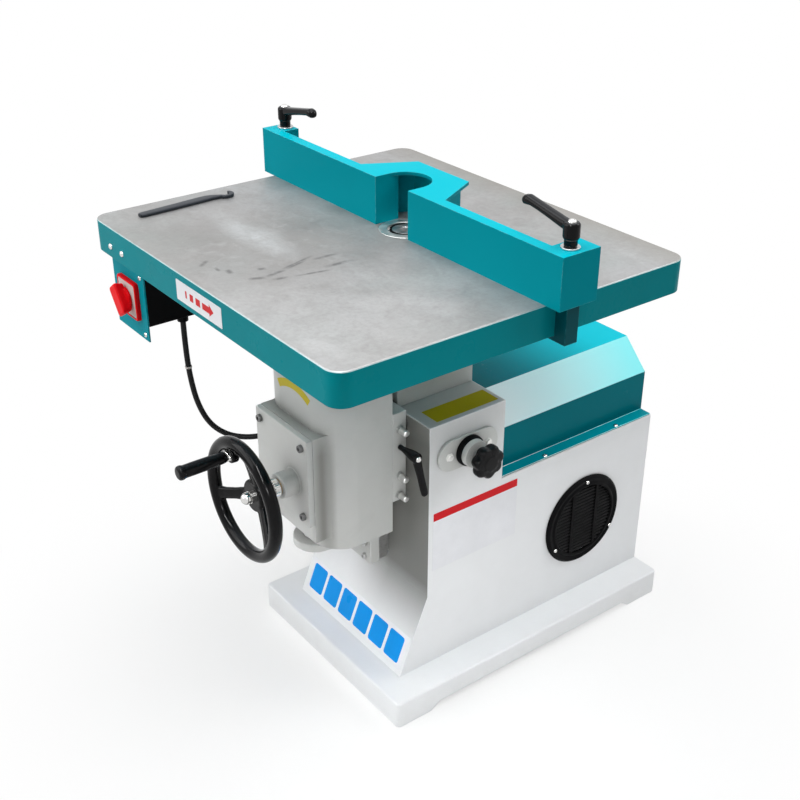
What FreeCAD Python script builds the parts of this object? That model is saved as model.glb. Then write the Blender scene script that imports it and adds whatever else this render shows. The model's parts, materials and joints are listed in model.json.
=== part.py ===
import FreeCAD, Part
import math
import os
import re
import Sketcher
from FreeCAD import Placement, Rotation, Vector

# Floor-standing spindle moulder. +X is the operator's right, -Y the front, +Z up, millimetres.
# The origin is on the floor, under the middle of the machine's outline.

doc = FreeCAD.newDocument("SpindleMoulder")
sheet = doc.addObject("Spreadsheet::Sheet", "Sizes")

SIZES = (
    # Clearances
    ("running_gap", 0.06, "radial gap of a shaft in its bore"),
    ("slide_gap", 0.2, "gap between sliding faces"),
    ("seat_gap", 0.3, "gap between moving pieces that only come close"),
    # Base
    ("base_width", 458, "base, left to right"),
    ("base_length", 688, "base, front to back"),
    ("base_front", -205, "front face of the base"),
    ("base_rise", 57, "height of the base"),
    ("base_deck", 14, "thickness of the base's top"),
    ("base_wall", 16, "thickness of the base's skirt"),
    ("base_corner", 8, "rounding of the base's corners"),
    ("foot_length", 78, "length of each foot along the side"),
    ("arch_rise", 14, "height of the arch between the feet"),
    ("arch_slope", 22, "length of the arch's sloping ends"),
    # Column
    ("column_width", 336, "column, left to right"),
    ("column_front", -92, "front face of the column"),
    ("column_back", 480, "rear face of the column"),
    ("column_wall", 8, "thickness of the column's walls"),
    ("toe_reach", 64, "how far the sloping toe stands out"),
    ("toe_top", 215, "height where the toe's slope ends"),
    ("deck_height", 410, "top of the column's rear part"),
    ("box_rise", 165, "top of the column's front box above the rear part"),
    ("box_back", 80, "rear face of the front box"),
    ("deck_window", 250, "width of the opening under the hood"),
    ("deck_margin", 20, "deck left in front of and behind that opening"),
    ("belt_window_width", 200, "width of the belt's opening in the box"),
    ("belt_window_margin", 16, "belt's opening below the belt"),
    # Hood
    ("hood_width", 282, "hood, wall to wall outside"),
    ("hood_ridge", 168, "width of the hood's flat top"),
    ("hood_wall", 87, "height of the hood's upright walls"),
    ("hood_rise", 145, "height of the hood"),
    ("hood_sheet", 2.5, "thickness of the hood's sheet"),
    ("hood_flange", 25, "width of the hood's foot flange"),
    ("hood_screw_radius", 5, "head of a hood screw"),
    ("hood_screw_rise", 3.5, "height of a hood screw's head"),
    ("hood_screw_front", 115, "front hood screws from the hood's front"),
    ("hood_screw_rear", 94, "rear hood screws from the hood's rear"),
    # Vent grille and motor
    ("motor_place", 303, "motor axis, front to back"),
    ("grille_height", 231, "height of the grille's middle"),
    ("grille_radius", 99, "outside of the grille"),
    ("grille_open", 76, "radius of the grille's slotted part"),
    ("grille_thick", 8, "thickness of the grille"),
    ("grille_pitch", 9.5, "from one slat to the next"),
    ("grille_slat", 4, "height of a slat"),
    ("grille_post", 7, "width of the grille's two posts"),
    ("grille_post_place", 32, "posts from the grille's middle"),
    ("grille_screw_circle", 88, "radius of the grille's screw circle"),
    ("grille_screw_radius", 4, "head of a grille screw"),
    ("motor_radius", 84, "outside of the motor"),
    ("motor_bottom", 120, "underside of the motor"),
    ("motor_flange_radius", 100, "outside of the motor's flange"),
    ("motor_flange_thick", 14, "thickness of the motor's flange"),
    ("motor_plate_thick", 12, "thickness of the motor's plate"),
    ("motor_plate_length", 230, "motor plate, front to back"),
    ("motor_shaft_radius", 14, "motor shaft"),
    ("motor_bolt_circle", 92, "radius of the motor's bolt circle"),
    ("motor_bolt_radius", 5, "shank of a motor bolt"),
    ("motor_pulley_radius", 58, "motor pulley under the belt"),
    ("belt_rise", 30, "lower edge of the belt above the column's deck"),
    ("belt_width", 34, "width of the belt"),
    ("belt_thick", 5, "thickness of the belt"),
    ("pulley_lip", 4, "height of a pulley's rims beside the belt"),
    ("pulley_lip_reach", 6, "how far a pulley's rims stand out"),
    # Spindle
    ("spindle_place", -19, "spindle axis, front to back"),
    ("spindle_radius", 20, "spindle shaft"),
    ("spindle_bottom", 425, "lower end of the spindle"),
    ("nose_radius", 23, "spindle's nose"),
    ("nose_length", 50, "length of the spindle's nose"),
    ("nose_drop", 1, "nose below the table's face"),
    ("socket_radius", 10, "arbor socket in the nose"),
    ("socket_depth", 70, "depth of the arbor socket"),
    ("nose_nut_radius", 27, "outside of the slotted ring nut"),
    ("nose_nut_height", 14, "height of the ring nut"),
    ("nose_nut_slot", 7, "width of the ring nut's slots"),
    ("bearing_radius", 40, "outside of a spindle bearing"),
    ("bearing_height", 20, "height of a spindle bearing"),
    ("housing_width", 150, "spindle housing, left to right"),
    ("housing_drop", 90, "top of the spindle housing below the table's face"),
    ("housing_bore", 30, "bore between the bearings"),
    ("spindle_pulley_radius", 36, "spindle pulley under the belt"),
    ("lock_collar_radius", 30, "spindle's locking collar"),
    ("lock_collar_height", 36, "height of the locking collar"),
    # Spindle lock
    ("lock_place", -8, "lock plunger, front to back"),
    ("lock_rise", 33, "height of the lock plunger above the belt"),
    ("lock_travel", 12, "travel of the lock plunger"),
    ("plunger_radius", 8, "lock plunger"),
    ("lock_flange_thick", 6, "thickness of the lock's flange"),
    ("lock_flange_radius", 31, "rounding of the flange's ends"),
    ("lock_flange_reach", 37, "flange ends from its middle"),
    ("lock_boss_radius", 26, "boss of the lock's flange"),
    ("lock_boss_length", 22, "length of that boss"),
    ("flange_bolt_place", 44, "flange bolts from its middle"),
    ("flange_bolt_radius", 8, "head of a flange bolt"),
    ("knob_radius", 33, "star knob over its lobes"),
    ("knob_thick", 24, "thickness of the star knob"),
    ("knob_neck_radius", 12, "neck behind the star knob"),
    ("knob_neck_length", 4, "length of that neck"),
    ("knob_lobe_radius", 9, "rounding of a lobe"),
    # Slide way and lift
    ("way_width", 120, "slide way, left to right"),
    ("way_depth", 33.4, "slide way in front of the column"),
    ("way_bottom", 253, "lower end of the slide way"),
    ("stem_width", 96, "slide way's stem, left to right"),
    ("stem_depth", 12, "depth of the stem"),
    ("lug_top", 323, "top of the lift bracket"),
    ("lug_thick", 17, "thickness of the lift bracket's arm"),
    ("lug_radius", 42, "rounded nose of the lift bracket"),
    ("lug_width", 132, "lift bracket at the slide way"),
    ("lug_block", 22, "depth of the block on the slide way"),
    ("lug_screw_spread", 96, "between the bracket's screws"),
    ("lug_screw_radius", 6, "head of a bracket screw"),
    ("screw_place", -224, "lift screw, front to back"),
    ("screw_radius", 14, "lift screw"),
    ("screw_top", 650, "top of the lift screw"),
    ("screw_collar_radius", 22, "collar of the lift screw"),
    ("screw_collar_height", 6, "height of that collar"),
    # Table
    ("table_width", 760, "table, left to right"),
    ("table_length", 693, "table, front to back"),
    ("table_middle", -77, "middle of the table, front to back"),
    ("table_height", 870, "table's working face above the floor"),
    ("table_rim", 57, "depth of the table's rim"),
    ("table_plate", 16, "thickness of the table's plate"),
    ("table_wall", 14, "thickness of the table's rim"),
    ("table_corner", 28, "radius of the table's corners"),
    ("table_bevel", 1.5, "bevel along the table's top edge"),
    ("insert_radius", 46, "outside of the table's insert ring"),
    ("insert_open", 31, "opening of the insert ring"),
    ("insert_thick", 8, "thickness of the insert ring"),
    # Headstock
    ("head_width", 212, "headstock, left to right"),
    ("head_depth", 132, "headstock, front to back"),
    ("head_bottom", 343, "underside of the headstock"),
    ("head_wall", 14, "thickness of the headstock's walls"),
    ("head_corner", 58, "rounding of the headstock's front corners"),
    ("head_top_web", 16, "thickness of the headstock's top"),
    ("pad_width", 164, "gear pad, left to right"),
    ("pad_depth", 18, "gear pad in front of the headstock"),
    ("pad_bottom", 366, "underside of the gear pad"),
    ("pad_valley", 14, "rounding between the gear pad and the headstock"),
    ("pad_top", 576, "top of the gear pad and its cover"),
    ("gear_window_width", 112, "opening for the gears"),
    ("gear_window_low", 408, "bottom of that opening"),
    ("gear_window_high", 545, "top of that opening"),
    ("gear_pocket_gap", 2, "room round the lift nut's collar"),
    ("shelf_height", 394, "top of the shelf that carries the lift nut"),
    ("shelf_thick", 16, "thickness of that shelf"),
    ("cover_thick", 12, "thickness of the gear cover"),
    ("cover_bottom", 402, "lower edge of the gear cover"),
    ("cover_bolt_spread", 132, "cover bolts, left to right"),
    ("cover_bolt_inset", 18, "cover bolts from its top and bottom edges"),
    ("cover_bolt_radius", 7, "head of a cover bolt"),
    ("cover_bolt_rise", 5, "height of a cover bolt's head"),
    ("boss_radius", 24, "shaft boss on the gear cover"),
    ("boss_length", 32, "length of the shaft boss"),
    ("table_bolt_radius", 8, "head of a headstock bolt"),
    ("table_bolt_head", 8, "height of a headstock bolt's head"),
    ("table_bolt_spread", 130, "headstock bolts, left to right"),
    ("table_bolt_pitch", 60, "headstock bolts, front to back"),
    # Gibs and clamp
    ("gib_bottom", 405, "lower end of the gibs"),
    ("gib_top", 586, "upper end of the gibs"),
    ("gib_back_gap", 3, "gap between the gibs and the column"),
    ("gib_nut_radius", 9.5, "nut on a gib screw"),
    ("gib_nut_thick", 6, "thickness of that nut"),
    ("gib_screw_radius", 6.5, "gib screw"),
    ("gib_screw_length", 22, "gib screw outside the gib"),
    ("clamp_rise", 112, "slide clamp's stud above the lower end of the gibs"),
    ("clamp_stud_radius", 5, "slide clamp's stud"),
    ("clamp_reach", 56, "slide clamp's stud outside the gib"),
    ("clamp_hub_radius", 10, "hub of the slide clamp's lever"),
    ("clamp_hub_length", 24, "length of that hub"),
    ("clamp_arm", 80, "length of the slide clamp's lever"),
    ("clamp_arm_width", 13, "width of that lever"),
    ("clamp_arm_thick", 9, "thickness of that lever"),
    ("clamp_lean", 8, "lever's lean from the vertical, in degrees"),
    ("clamp_splay", 10, "lever's slope away from the headstock, in degrees"),
    # Handwheel
    ("wheel_side", 36, "handwheel's axis, right of the lift screw"),
    ("wheel_height", 478.5, "height of the handwheel's axis"),
    ("wheel_middle", -387, "middle plane of the handwheel's rim"),
    ("wheel_radius", 101.5, "middle of the handwheel's rim"),
    ("rim_radius", 12, "thickness of the rim, as a radius"),
    ("hub_radius", 30, "handwheel's hub"),
    ("hub_thick", 17, "thickness of the hub's disc"),
    ("hub_nose_radius", 20, "boss behind the hub's disc"),
    ("hub_nose_length", 15, "length of that boss"),
    ("spoke_width", 24, "width of a spoke"),
    ("spoke_thick", 13, "thickness of a spoke"),
    ("shaft_radius", 10, "handwheel's shaft"),
    ("collar_radius", 17, "steel collar behind the handwheel"),
    ("collar_length", 20, "length of that collar"),
    ("bush_radius", 14, "outside of the shaft's bush"),
    ("cap_radius", 11.5, "dome nut in front of the handwheel"),
    ("cap_length", 20, "length of the dome nut"),
    ("nut_gear_radius", 21, "lift nut's gear"),
    ("gear_face", 26, "face width of the crossed gears"),
    ("nut_neck_radius", 18.5, "lift nut between its gear and its collar"),
    ("nut_collar_radius", 29, "lift nut's collar on the shelf"),
    ("nut_collar_height", 10, "height of that collar"),
    ("nut_hub_radius", 21, "lift nut's hub in the shelf"),
    ("handle_aside", 36, "handle, left of the handwheel's axis"),
    ("handle_above", 70.5, "handle above the handwheel's axis"),
    ("handle_boss_rise", 4, "handle's boss in front of the rim's middle"),
    ("handle_boss_radius", 16, "boss that carries the handle"),
    ("handle_pin_radius", 6, "pin inside the handle"),
    ("handle_root_gap", 5, "collar between the rim's plane and the handle"),
    ("handle_collar_radius", 9.5, "collar at the handle's root"),
    ("handle_length", 91, "length of the turning handle"),
    ("handle_root_radius", 10.5, "handle at its root"),
    ("handle_end_radius", 13, "handle at its end"),
    # Switch
    ("plate_left", -345, "left edge of the switch bracket"),
    ("plate_right", -225, "right edge of the switch bracket"),
    ("plate_drop", 24, "upper edge of the switch bracket below the table's face"),
    ("plate_tall", 168, "height of the switch bracket"),
    ("plate_thick", 3, "thickness of the switch bracket"),
    ("plate_bolt_place", -289, "middle of the bracket's bolts"),
    ("plate_bolt_spread", 44, "between the bracket's bolts"),
    ("plate_bolt_inset", 12, "bracket's bolts from its upper edge"),
    ("plate_bolt_radius", 5.5, "head of a bracket bolt"),
    ("plate_bolt_head", 4, "height of a bracket bolt's head"),
    ("box_left", -336, "left side of the switch box"),
    ("box_right", -228, "right side of the switch box"),
    ("box_drop", 48, "top of the switch box below the bracket's upper edge"),
    ("box_tall", 93, "height of the switch box"),
    ("box_deep", 94, "depth of the switch box"),
    ("dial_place", -282, "middle of the switch, left to right"),
    ("dial_drop", 100, "middle of the switch below the bracket's upper edge"),
    ("dial_side", 70, "side of the switch's front plate"),
    ("dial_thick", 8, "thickness of that plate"),
    ("dial_stem_radius", 9, "switch's stem"),
    ("switch_knob_disc", 21, "round foot of the switch knob, as a radius"),
    ("switch_knob_foot", 6, "height of that foot"),
    ("switch_knob_width", 31, "width of the switch knob's bar"),
    ("switch_knob_tall", 56, "length of the switch knob's bar"),
    ("switch_knob_deep", 14, "depth of the switch knob's bar"),
    ("switch_knob_corner", 6, "bevel of the bar's corners"),
    ("switch_knob_lean", 36, "bar's turn from the vertical, in degrees"),
    ("plate_screw_radius", 4.5, "head of a switch screw"),
    ("plate_screw_head", 3, "height of a switch screw's head"),
    ("plate_screw_inset", 11, "switch screws from the bracket's right edge"),
    # Cord
    ("cord_radius", 5.25, "switch cord"),
    ("gland_radius", 10, "cord gland"),
    ("gland_length", 15, "cord gland outside its wall"),
    ("gland_flange", 13, "flange of a cord gland"),
    ("gland_flange_thick", 4, "thickness of that flange"),
    # Fence
    ("fence_front", -48.5, "working face of the fence"),
    ("fence_thick", 21, "thickness of the fence's bars"),
    ("fence_rise", 85.5, "height of the fence"),
    ("fence_overhang", 32, "fence beyond the table's sides"),
    ("fence_end_width", 46, "width of the fence's end blocks"),
    ("fence_end_left", 52, "depth of the fence's left end block"),
    ("fence_end_right", 76, "depth of the fence's right end block"),
    ("throat_radius", 45.5, "throat round the spindle"),
    ("throat_wall", 6, "wall of the throat"),
    ("throat_cheek", 49, "length of the throat's straight cheeks"),
    ("bridge_front", 236, "bridge plate at the bars"),
    ("bridge_back", 138, "bridge plate's rear edge"),
    ("bridge_reach", 90, "bridge plate behind the bars"),
    ("bridge_thick", 6, "thickness of the bridge plate"),
    ("bridge_overhang", 11, "bridge plate beyond its walls"),
    ("clamp_post_out", 8.5, "fence clamp's stud beyond the table's side"),
    ("clamp_post_place", -12, "fence clamp, front to back"),
    ("stud_radius", 6, "fence clamp's stud"),
    ("washer_radius", 15, "washer under a fence lever"),
    ("washer_thick", 3, "thickness of that washer"),
    ("lever_foot_radius", 10.5, "foot of a fence lever"),
    ("lever_hub_radius", 13, "hub of a fence lever"),
    ("lever_height", 37, "height of a fence lever's hub"),
    ("lever_arm", 104, "length of a fence lever"),
    ("lever_arm_width", 20, "width of a fence lever"),
    ("lever_arm_thick", 14, "thickness of a fence lever at its hub"),
    ("lever_tip_thick", 10, "thickness of a fence lever near its end"),
    ("lever_hook", 8, "how far a fence lever's end hooks down"),
    ("lever_rise", 17, "how far a fence lever's end stands up"),
    ("jaw_width", 26, "fence jaw, front to back"),
    ("jaw_thick", 24, "fence jaw beside the table"),
    ("jaw_toe", 22, "fence jaw under the table"),
    ("jaw_toe_thick", 8, "thickness of the jaw's toe"),
    ("stud_end", 30, "stud's end above the jaw's underside"),
    # Hook spanner
    ("spanner_left", -322, "middle of the spanner's handle, left to right"),
    ("spanner_front", -360, "front end of the spanner"),
    ("spanner_handle", 140, "length of the spanner's handle"),
    ("spanner_slant", 6, "half of the handle's run to the left"),
    ("spanner_width", 18, "width of the spanner's handle"),
    ("spanner_neck", 9, "width of the spanner's neck"),
    ("spanner_thick", 6, "thickness of the spanner"),
    ("hook_radius", 17, "outside of the spanner's hook"),
    ("hook_wall", 9, "width of the spanner's hook"),
)

for row, (alias, value, note) in enumerate(SIZES, start=1):
    sheet.set(f"A{row}", note)
    sheet.set(f"B{row}", str(value))
    sheet.setAlias(f"B{row}", alias)
doc.recompute()

ALIASES = {alias for alias, value, note in SIZES}
PARTS = []

# Places and sizes that follow from the ones above
PLACES = {
    "base_back": "base_front + base_length",
    "column_side": "column_width / 2",
    "box_height": "deck_height + box_rise",
    "hood_eave": "deck_height + hood_wall",
    "hood_height": "deck_height + hood_rise",
    "belt_low": "deck_height + belt_rise",
    "belt_top": "belt_low + belt_width",
    "belt_window_low": "belt_low - belt_window_margin",
    "belt_window_high": "lock_height + lock_collar_height",
    "lock_height": "belt_top + lock_rise",
    "lock_face": "column_side + lock_flange_thick + lock_boss_length",
    "housing_top": "table_height - housing_drop",
    "nose_top": "table_height - nose_drop",
    "way_front": "column_front - way_depth",
    "gib_back": "column_front - gib_back_gap",
    "gib_middle": "(way_front + gib_back) / 2",
    "clamp_height": "gib_bottom + clamp_rise",
    "head_back": "way_front - slide_gap / 2",
    "head_front": "head_back - head_depth",
    "pad_front": "head_front - pad_depth",
    "cover_front": "pad_front - cover_thick",
    "boss_front": "cover_front - boss_length",
    "hub_back": "boss_front - seat_gap - collar_length",
    "hub_face": "hub_back - hub_nose_length",
    "hub_front": "hub_face - hub_thick",
    "handle_side": "wheel_side - handle_aside",
    "handle_height": "wheel_height + handle_above",
    "handle_root": "wheel_middle - handle_boss_rise",
    "table_front": "table_middle - table_length / 2",
    "table_back": "table_middle + table_length / 2",
    "table_under": "table_height - table_plate",
    "rim_bottom": "table_height - table_rim",
    "rim_inside": "table_front + table_wall",
    "bracket_back": "rim_inside + plate_thick",
    "plate_top": "table_height - plate_drop",
    "plate_bottom": "plate_top - plate_tall",
    "plate_bolt_height": "plate_top - plate_bolt_inset",
    "box_high": "plate_top - box_drop",
    "box_low": "box_high - box_tall",
    "dial_height": "plate_top - dial_drop",
    "dial_front": "rim_inside - dial_thick",
    "fence_top": "table_height + fence_rise",
    "fence_back": "fence_front + fence_thick",
    "fence_width": "table_width + 2 * fence_overhang",
    "clamp_post": "table_width / 2 + clamp_post_out",
}


def ref(text):
    """An expression that reads the named sizes from the sheet."""

    def word(match):
        name = match[0]
        if name in PLACES:
            return f"({ref(PLACES[name])})"
        return f"Sizes.{name}" if name in ALIASES else name

    return re.sub(r"[a-z][a-z_]+", word, str(text))


def size(text):
    """The value of an expression, in millimetres."""
    return float(sheet.evalExpression(ref(text)))


def bind(obj, **expressions):
    for path, text in expressions.items():
        obj.setExpression(path, ref(text))
    return obj


TURNS = {
    "+Z": Rotation(),
    "-Z": Rotation(Vector(1, 0, 0), 180),
    "+X": Rotation(Vector(0, 1, 0), 90),
    "-X": Rotation(Vector(0, 1, 0), -90),
    "+Y": Rotation(Vector(1, 0, 0), -90),
    "-Y": Rotation(Vector(1, 0, 0), 90),
}


def place(obj, x, y, z, axis="+Z"):
    """Puts an object's own origin at a point, with its own Z axis along a direction."""
    obj.Placement = Placement(Vector(), TURNS[axis])
    for letter, text in zip("xyz", (x, y, z)):
        obj.setExpression(f"Placement.Base.{letter}", ref(text))
    return obj


def box(name, x, y, z):
    """A block between the low and high ends that x, y and z give."""
    block = doc.addObject("Part::Box", name)
    for key, (low, high) in zip(("Length", "Width", "Height"), (x, y, z)):
        block.setExpression(key, ref(f"({high}) - ({low})"))
    return place(block, x[0], y[0], z[0])


def rod(name, radius, length, x, y, z, axis="+Z"):
    cylinder = bind(doc.addObject("Part::Cylinder", name), Radius=radius, Height=length)
    return place(cylinder, x, y, z, axis)


def taper(name, start_radius, end_radius, length, x, y, z, axis="+Z"):
    cone = doc.addObject("Part::Cone", name)
    bind(cone, Radius1=start_radius, Radius2=end_radius, Height=length)
    return place(cone, x, y, z, axis)


def fuse(name, *pieces):
    joined = doc.addObject("Part::MultiFuse", name)
    joined.Shapes = list(pieces)
    joined.Refine = True
    return joined


def cut(name, base, *tools):
    cutter = tools[0] if len(tools) == 1 else fuse(name + "_tools", *tools)
    result = doc.addObject("Part::Cut", name)
    result.Base = base
    result.Tool = cutter
    result.Refine = True
    return result


def group(name, *pieces):
    """Like pieces that share one node and stay separate solids."""
    together = doc.addObject("Part::Compound", name)
    together.Links = list(pieces)
    return together


def rounded(name, base, radius, pick, kind="Part::Fillet"):
    """The base with the edges that pick chooses rounded, or bevelled with Part::Chamfer."""
    doc.recompute()
    limit = size(radius)
    finish = doc.addObject(kind, name)
    finish.Base = base
    edges = enumerate(base.Shape.Edges, start=1)
    finish.Edges = [(n, limit, limit) for n, edge in edges if pick(edge)]
    return finish


def upright(edge):
    """True for a vertical edge."""
    box_of = edge.BoundBox
    return box_of.ZLength > 1 and box_of.XLength + box_of.YLength < 0.01


def level_at(text):
    """A test for the edges that lie at one height."""
    height = size(text)

    def pick(edge):
        return edge.BoundBox.ZLength < 0.01 and abs(edge.BoundBox.ZMin - height) < 0.01

    return pick


SKETCH_PLANES = {"XY": ("XY_Plane", "", False), "XZ": ("XZ_Plane", "-", True), "YZ": ("YZ_Plane", "", False)}


def outline(body, name, plane, points, start):
    """A closed sketch whose corners are bound to the sizes, on a plane moved to start."""
    role, sign, unused = SKETCH_PLANES[plane]
    sketch = body.newObject("Sketcher::SketchObject", name)
    sketch.AttachmentSupport = [(next(f for f in body.Origin.OriginFeatures if f.Role == role), "")]
    sketch.MapMode = "FlatFace"
    sketch.setExpression("AttachmentOffset.Base.z", ref(f"{sign}({start})"))
    corners = [Vector(size(u), size(v), 0) for u, v in points]
    count = len(corners)
    for n in range(count):
        sketch.addGeometry(Part.LineSegment(corners[n], corners[(n + 1) % count]))
    for n in range(count):
        sketch.addConstraint(Sketcher.Constraint("Coincident", n, 2, (n + 1) % count, 1))
    for n, (u, v) in enumerate(points):
        for kind, axis_line, text in (("DistanceX", -2, u), ("DistanceY", -1, v)):
            if text == "0":
                sketch.addConstraint(Sketcher.Constraint("PointOnObject", n, 1, axis_line))
                continue
            index = sketch.addConstraint(Sketcher.Constraint(kind, -1, 1, n, 1, size(text)))
            sketch.setExpression(f"Constraints[{index}]", ref(text))
    return sketch


def prism(name, plane, points, start, length):
    """A padded outline, from start along the plane's positive direction."""
    body = doc.addObject("PartDesign::Body", name)
    pad = body.newObject("PartDesign::Pad", name + "_pad")
    pad.Profile = outline(body, name + "_outline", plane, points, start)
    pad.Reversed = SKETCH_PLANES[plane][2]
    return bind(pad, Length=length) and body


def turned(name, points, x, y, z, axis="+Z"):
    """A profile of radius and height turned about its own Z axis, then put in place."""
    body = doc.addObject("PartDesign::Body", name)
    sketch = outline(body, name + "_profile", "XZ", points, "0")
    spin = body.newObject("PartDesign::Revolution", name + "_turn")
    spin.Profile = sketch
    spin.ReferenceAxis = (sketch, ["V_Axis"])
    spin.Angle = 360
    return place(body, x, y, z, axis)


def part(label, obj):
    """Hands in an object as a sub-part under its own name."""
    obj.Label = label
    PARTS.append(obj)
    return obj


def base():
    half = "base_width / 2"
    ends = ("base_front", "base_back")
    block = box("base_block", ("-" + half, half), ends, ("0", "base_rise"))
    shell = rounded("base_corners", block, "base_corner", upright)
    shell = rounded("base_edge", shell, "base_corner / 2", level_at("base_rise"))
    inset = "base_width / 2 - base_wall"
    hollow = box(
        "base_hollow",
        (f"-({inset})", inset),
        ("base_front + base_wall", "base_back - base_wall"),
        ("-1", "base_rise - base_deck"),
    )
    arch = prism(
        "base_arch",
        "YZ",
        (
            ("base_front + foot_length", "-1"),
            ("base_front + foot_length + arch_slope", "arch_rise"),
            ("base_back - foot_length - arch_slope", "arch_rise"),
            ("base_back - foot_length", "-1"),
        ),
        "-base_width",
        "2 * base_width",
    )
    part("base", cut("base_casting", shell, hollow, arch))


def column():
    toe = "column_front - toe_reach"
    outside = prism(
        "column_outside",
        "YZ",
        (
            (toe, "base_rise"),
            ("column_front", "toe_top"),
            ("column_front", "box_height"),
            ("box_back", "box_height"),
            ("box_back", "deck_height"),
            ("column_back", "deck_height"),
            ("column_back", "base_rise"),
        ),
        "-column_side",
        "column_width",
    )
    inside = prism(
        "column_inside",
        "YZ",
        (
            (f"{toe} + column_wall", "base_rise - 1"),
            ("column_front + column_wall", "toe_top"),
            ("column_front + column_wall", "box_height - column_wall"),
            ("box_back - column_wall", "box_height - column_wall"),
            ("box_back - column_wall", "deck_height - column_wall"),
            ("column_back - column_wall", "deck_height - column_wall"),
            ("column_back - column_wall", "base_rise - 1"),
        ),
        "column_wall - column_side",
        "column_width - 2 * column_wall",
    )
    deck_window = box(
        "column_deck_window",
        ("-deck_window / 2", "deck_window / 2"),
        ("box_back + deck_margin", "column_back - deck_margin"),
        ("deck_height - 2 * column_wall", "deck_height + 1"),
    )
    belt_window = box(
        "column_belt_window",
        ("-belt_window_width / 2", "belt_window_width / 2"),
        ("box_back - 2 * column_wall", "box_back + 1"),
        ("belt_window_low", "belt_window_high"),
    )
    spindle_hole = rod(
        "column_spindle_hole", "bearing_radius + 4", "4 * column_wall",
        "0", "spindle_place", "box_height - 2 * column_wall",
    )
    lock_hole = rod(
        "column_lock_hole", "plunger_radius + 3", "4 * column_wall",
        "column_side - 2 * column_wall", "lock_place", "lock_height", "+X",
    )
    vent = rod(
        "column_vent", "grille_open + 2", "4 * column_wall",
        "column_side - 2 * column_wall", "motor_place", "grille_height", "+X",
    )
    part(
        "column",
        cut("column_shell", outside, inside, deck_window, belt_window, spindle_hole, lock_hole, vent),
    )


def hood():
    def section(name, inset, start, length):
        wall, ridge = f"(hood_width / 2 - {inset})", f"(hood_ridge / 2 - {inset} / 2)"
        eave, top = f"hood_eave - {inset} / 2", f"hood_height - {inset}"
        corners = [(wall, f"deck_height - {inset}"), (wall, eave), (ridge, top)]
        mirrored = [(f"-{across}", up) for across, up in reversed(corners)]
        return prism(name, "XZ", corners + mirrored, start, length)

    outside = section("hood_outside", "0", "box_back", "column_back - box_back")
    inside = section("hood_inside", "hood_sheet", "box_back - 1", "column_back - box_back - hood_sheet + 1")
    shell = cut("hood_shell", outside, inside)
    flanges = [
        box(
            f"hood_flange_{side}",
            sorted_pair(sign, "hood_width / 2 - hood_sheet", "hood_width / 2 + hood_flange"),
            ("box_back", "column_back"),
            ("deck_height", "deck_height + hood_sheet"),
        )
        for side, sign in SIDES
    ]
    part("hood", fuse("hood_sheet_metal", shell, *flanges))
    along = ("box_back + hood_screw_front", "column_back - hood_screw_rear")
    screws = [
        taper(
            f"hood_screw_{side}_{n}", "hood_screw_radius", "hood_screw_radius * 0.7", "hood_screw_rise",
            f"{sign}(hood_width / 2 + hood_flange * 0.76)", y, "deck_height + hood_sheet",
        )
        for side, sign in SIDES
        for n, y in enumerate(along)
    ]
    part("hood_screws", group("hood_screw_set", *screws))


SIDES = (("left", "-"), ("right", ""))


def sorted_pair(sign, near, far):
    """The low and high ends of a span on one side of the machine's middle."""
    return (f"-({far})", f"-({near})") if sign else (near, far)


def vent_grille():
    face = "column_side"
    ring = cut(
        "grille_ring",
        rod("grille_disc", "grille_radius", "grille_thick", face, "motor_place", "grille_height", "+X"),
        rod("grille_hole", "grille_open", "3 * grille_thick", f"{face} - grille_thick", "motor_place",
            "grille_height", "+X"),
    )
    depth = (face, f"{face} + grille_thick * 0.75")
    span = ("motor_place - grille_radius", "motor_place + grille_radius")
    rows = int(size("grille_open / grille_pitch"))
    bars = [
        box(
            f"grille_slat_{n + rows}", depth, span,
            (f"grille_height + {n} * grille_pitch - grille_slat / 2",
             f"grille_height + {n} * grille_pitch + grille_slat / 2"),
        )
        for n in range(-rows, rows + 1)
    ]
    bars += [
        box(
            f"grille_post_{side}", depth,
            (f"motor_place + {sign}grille_post_place - grille_post / 2",
             f"motor_place + {sign}grille_post_place + grille_post / 2"),
            ("grille_height - grille_radius", "grille_height + grille_radius"),
        )
        for side, sign in (("front", "-"), ("rear", ""))
    ]
    trimmed = doc.addObject("Part::Common", "grille_bars")
    trimmed.Base = fuse("grille_bar_set", *bars)
    trimmed.Tool = rod(
        "grille_trim", "grille_open + 3", "2 * grille_thick", face, "motor_place", "grille_height", "+X"
    )
    part("vent_grille", fuse("grille_moulding", ring, trimmed))
    screws = [
        taper(
            f"grille_screw_{angle}", "grille_screw_radius", "grille_screw_radius * 0.6", "3",
            f"{face} + grille_thick",
            f"motor_place + grille_screw_circle * cos({angle} deg)",
            f"grille_height + grille_screw_circle * sin({angle} deg)",
            "+X",
        )
        for angle in (90, 210, 330)
    ]
    part("grille_screws", group("grille_screw_set", *screws))


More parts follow.
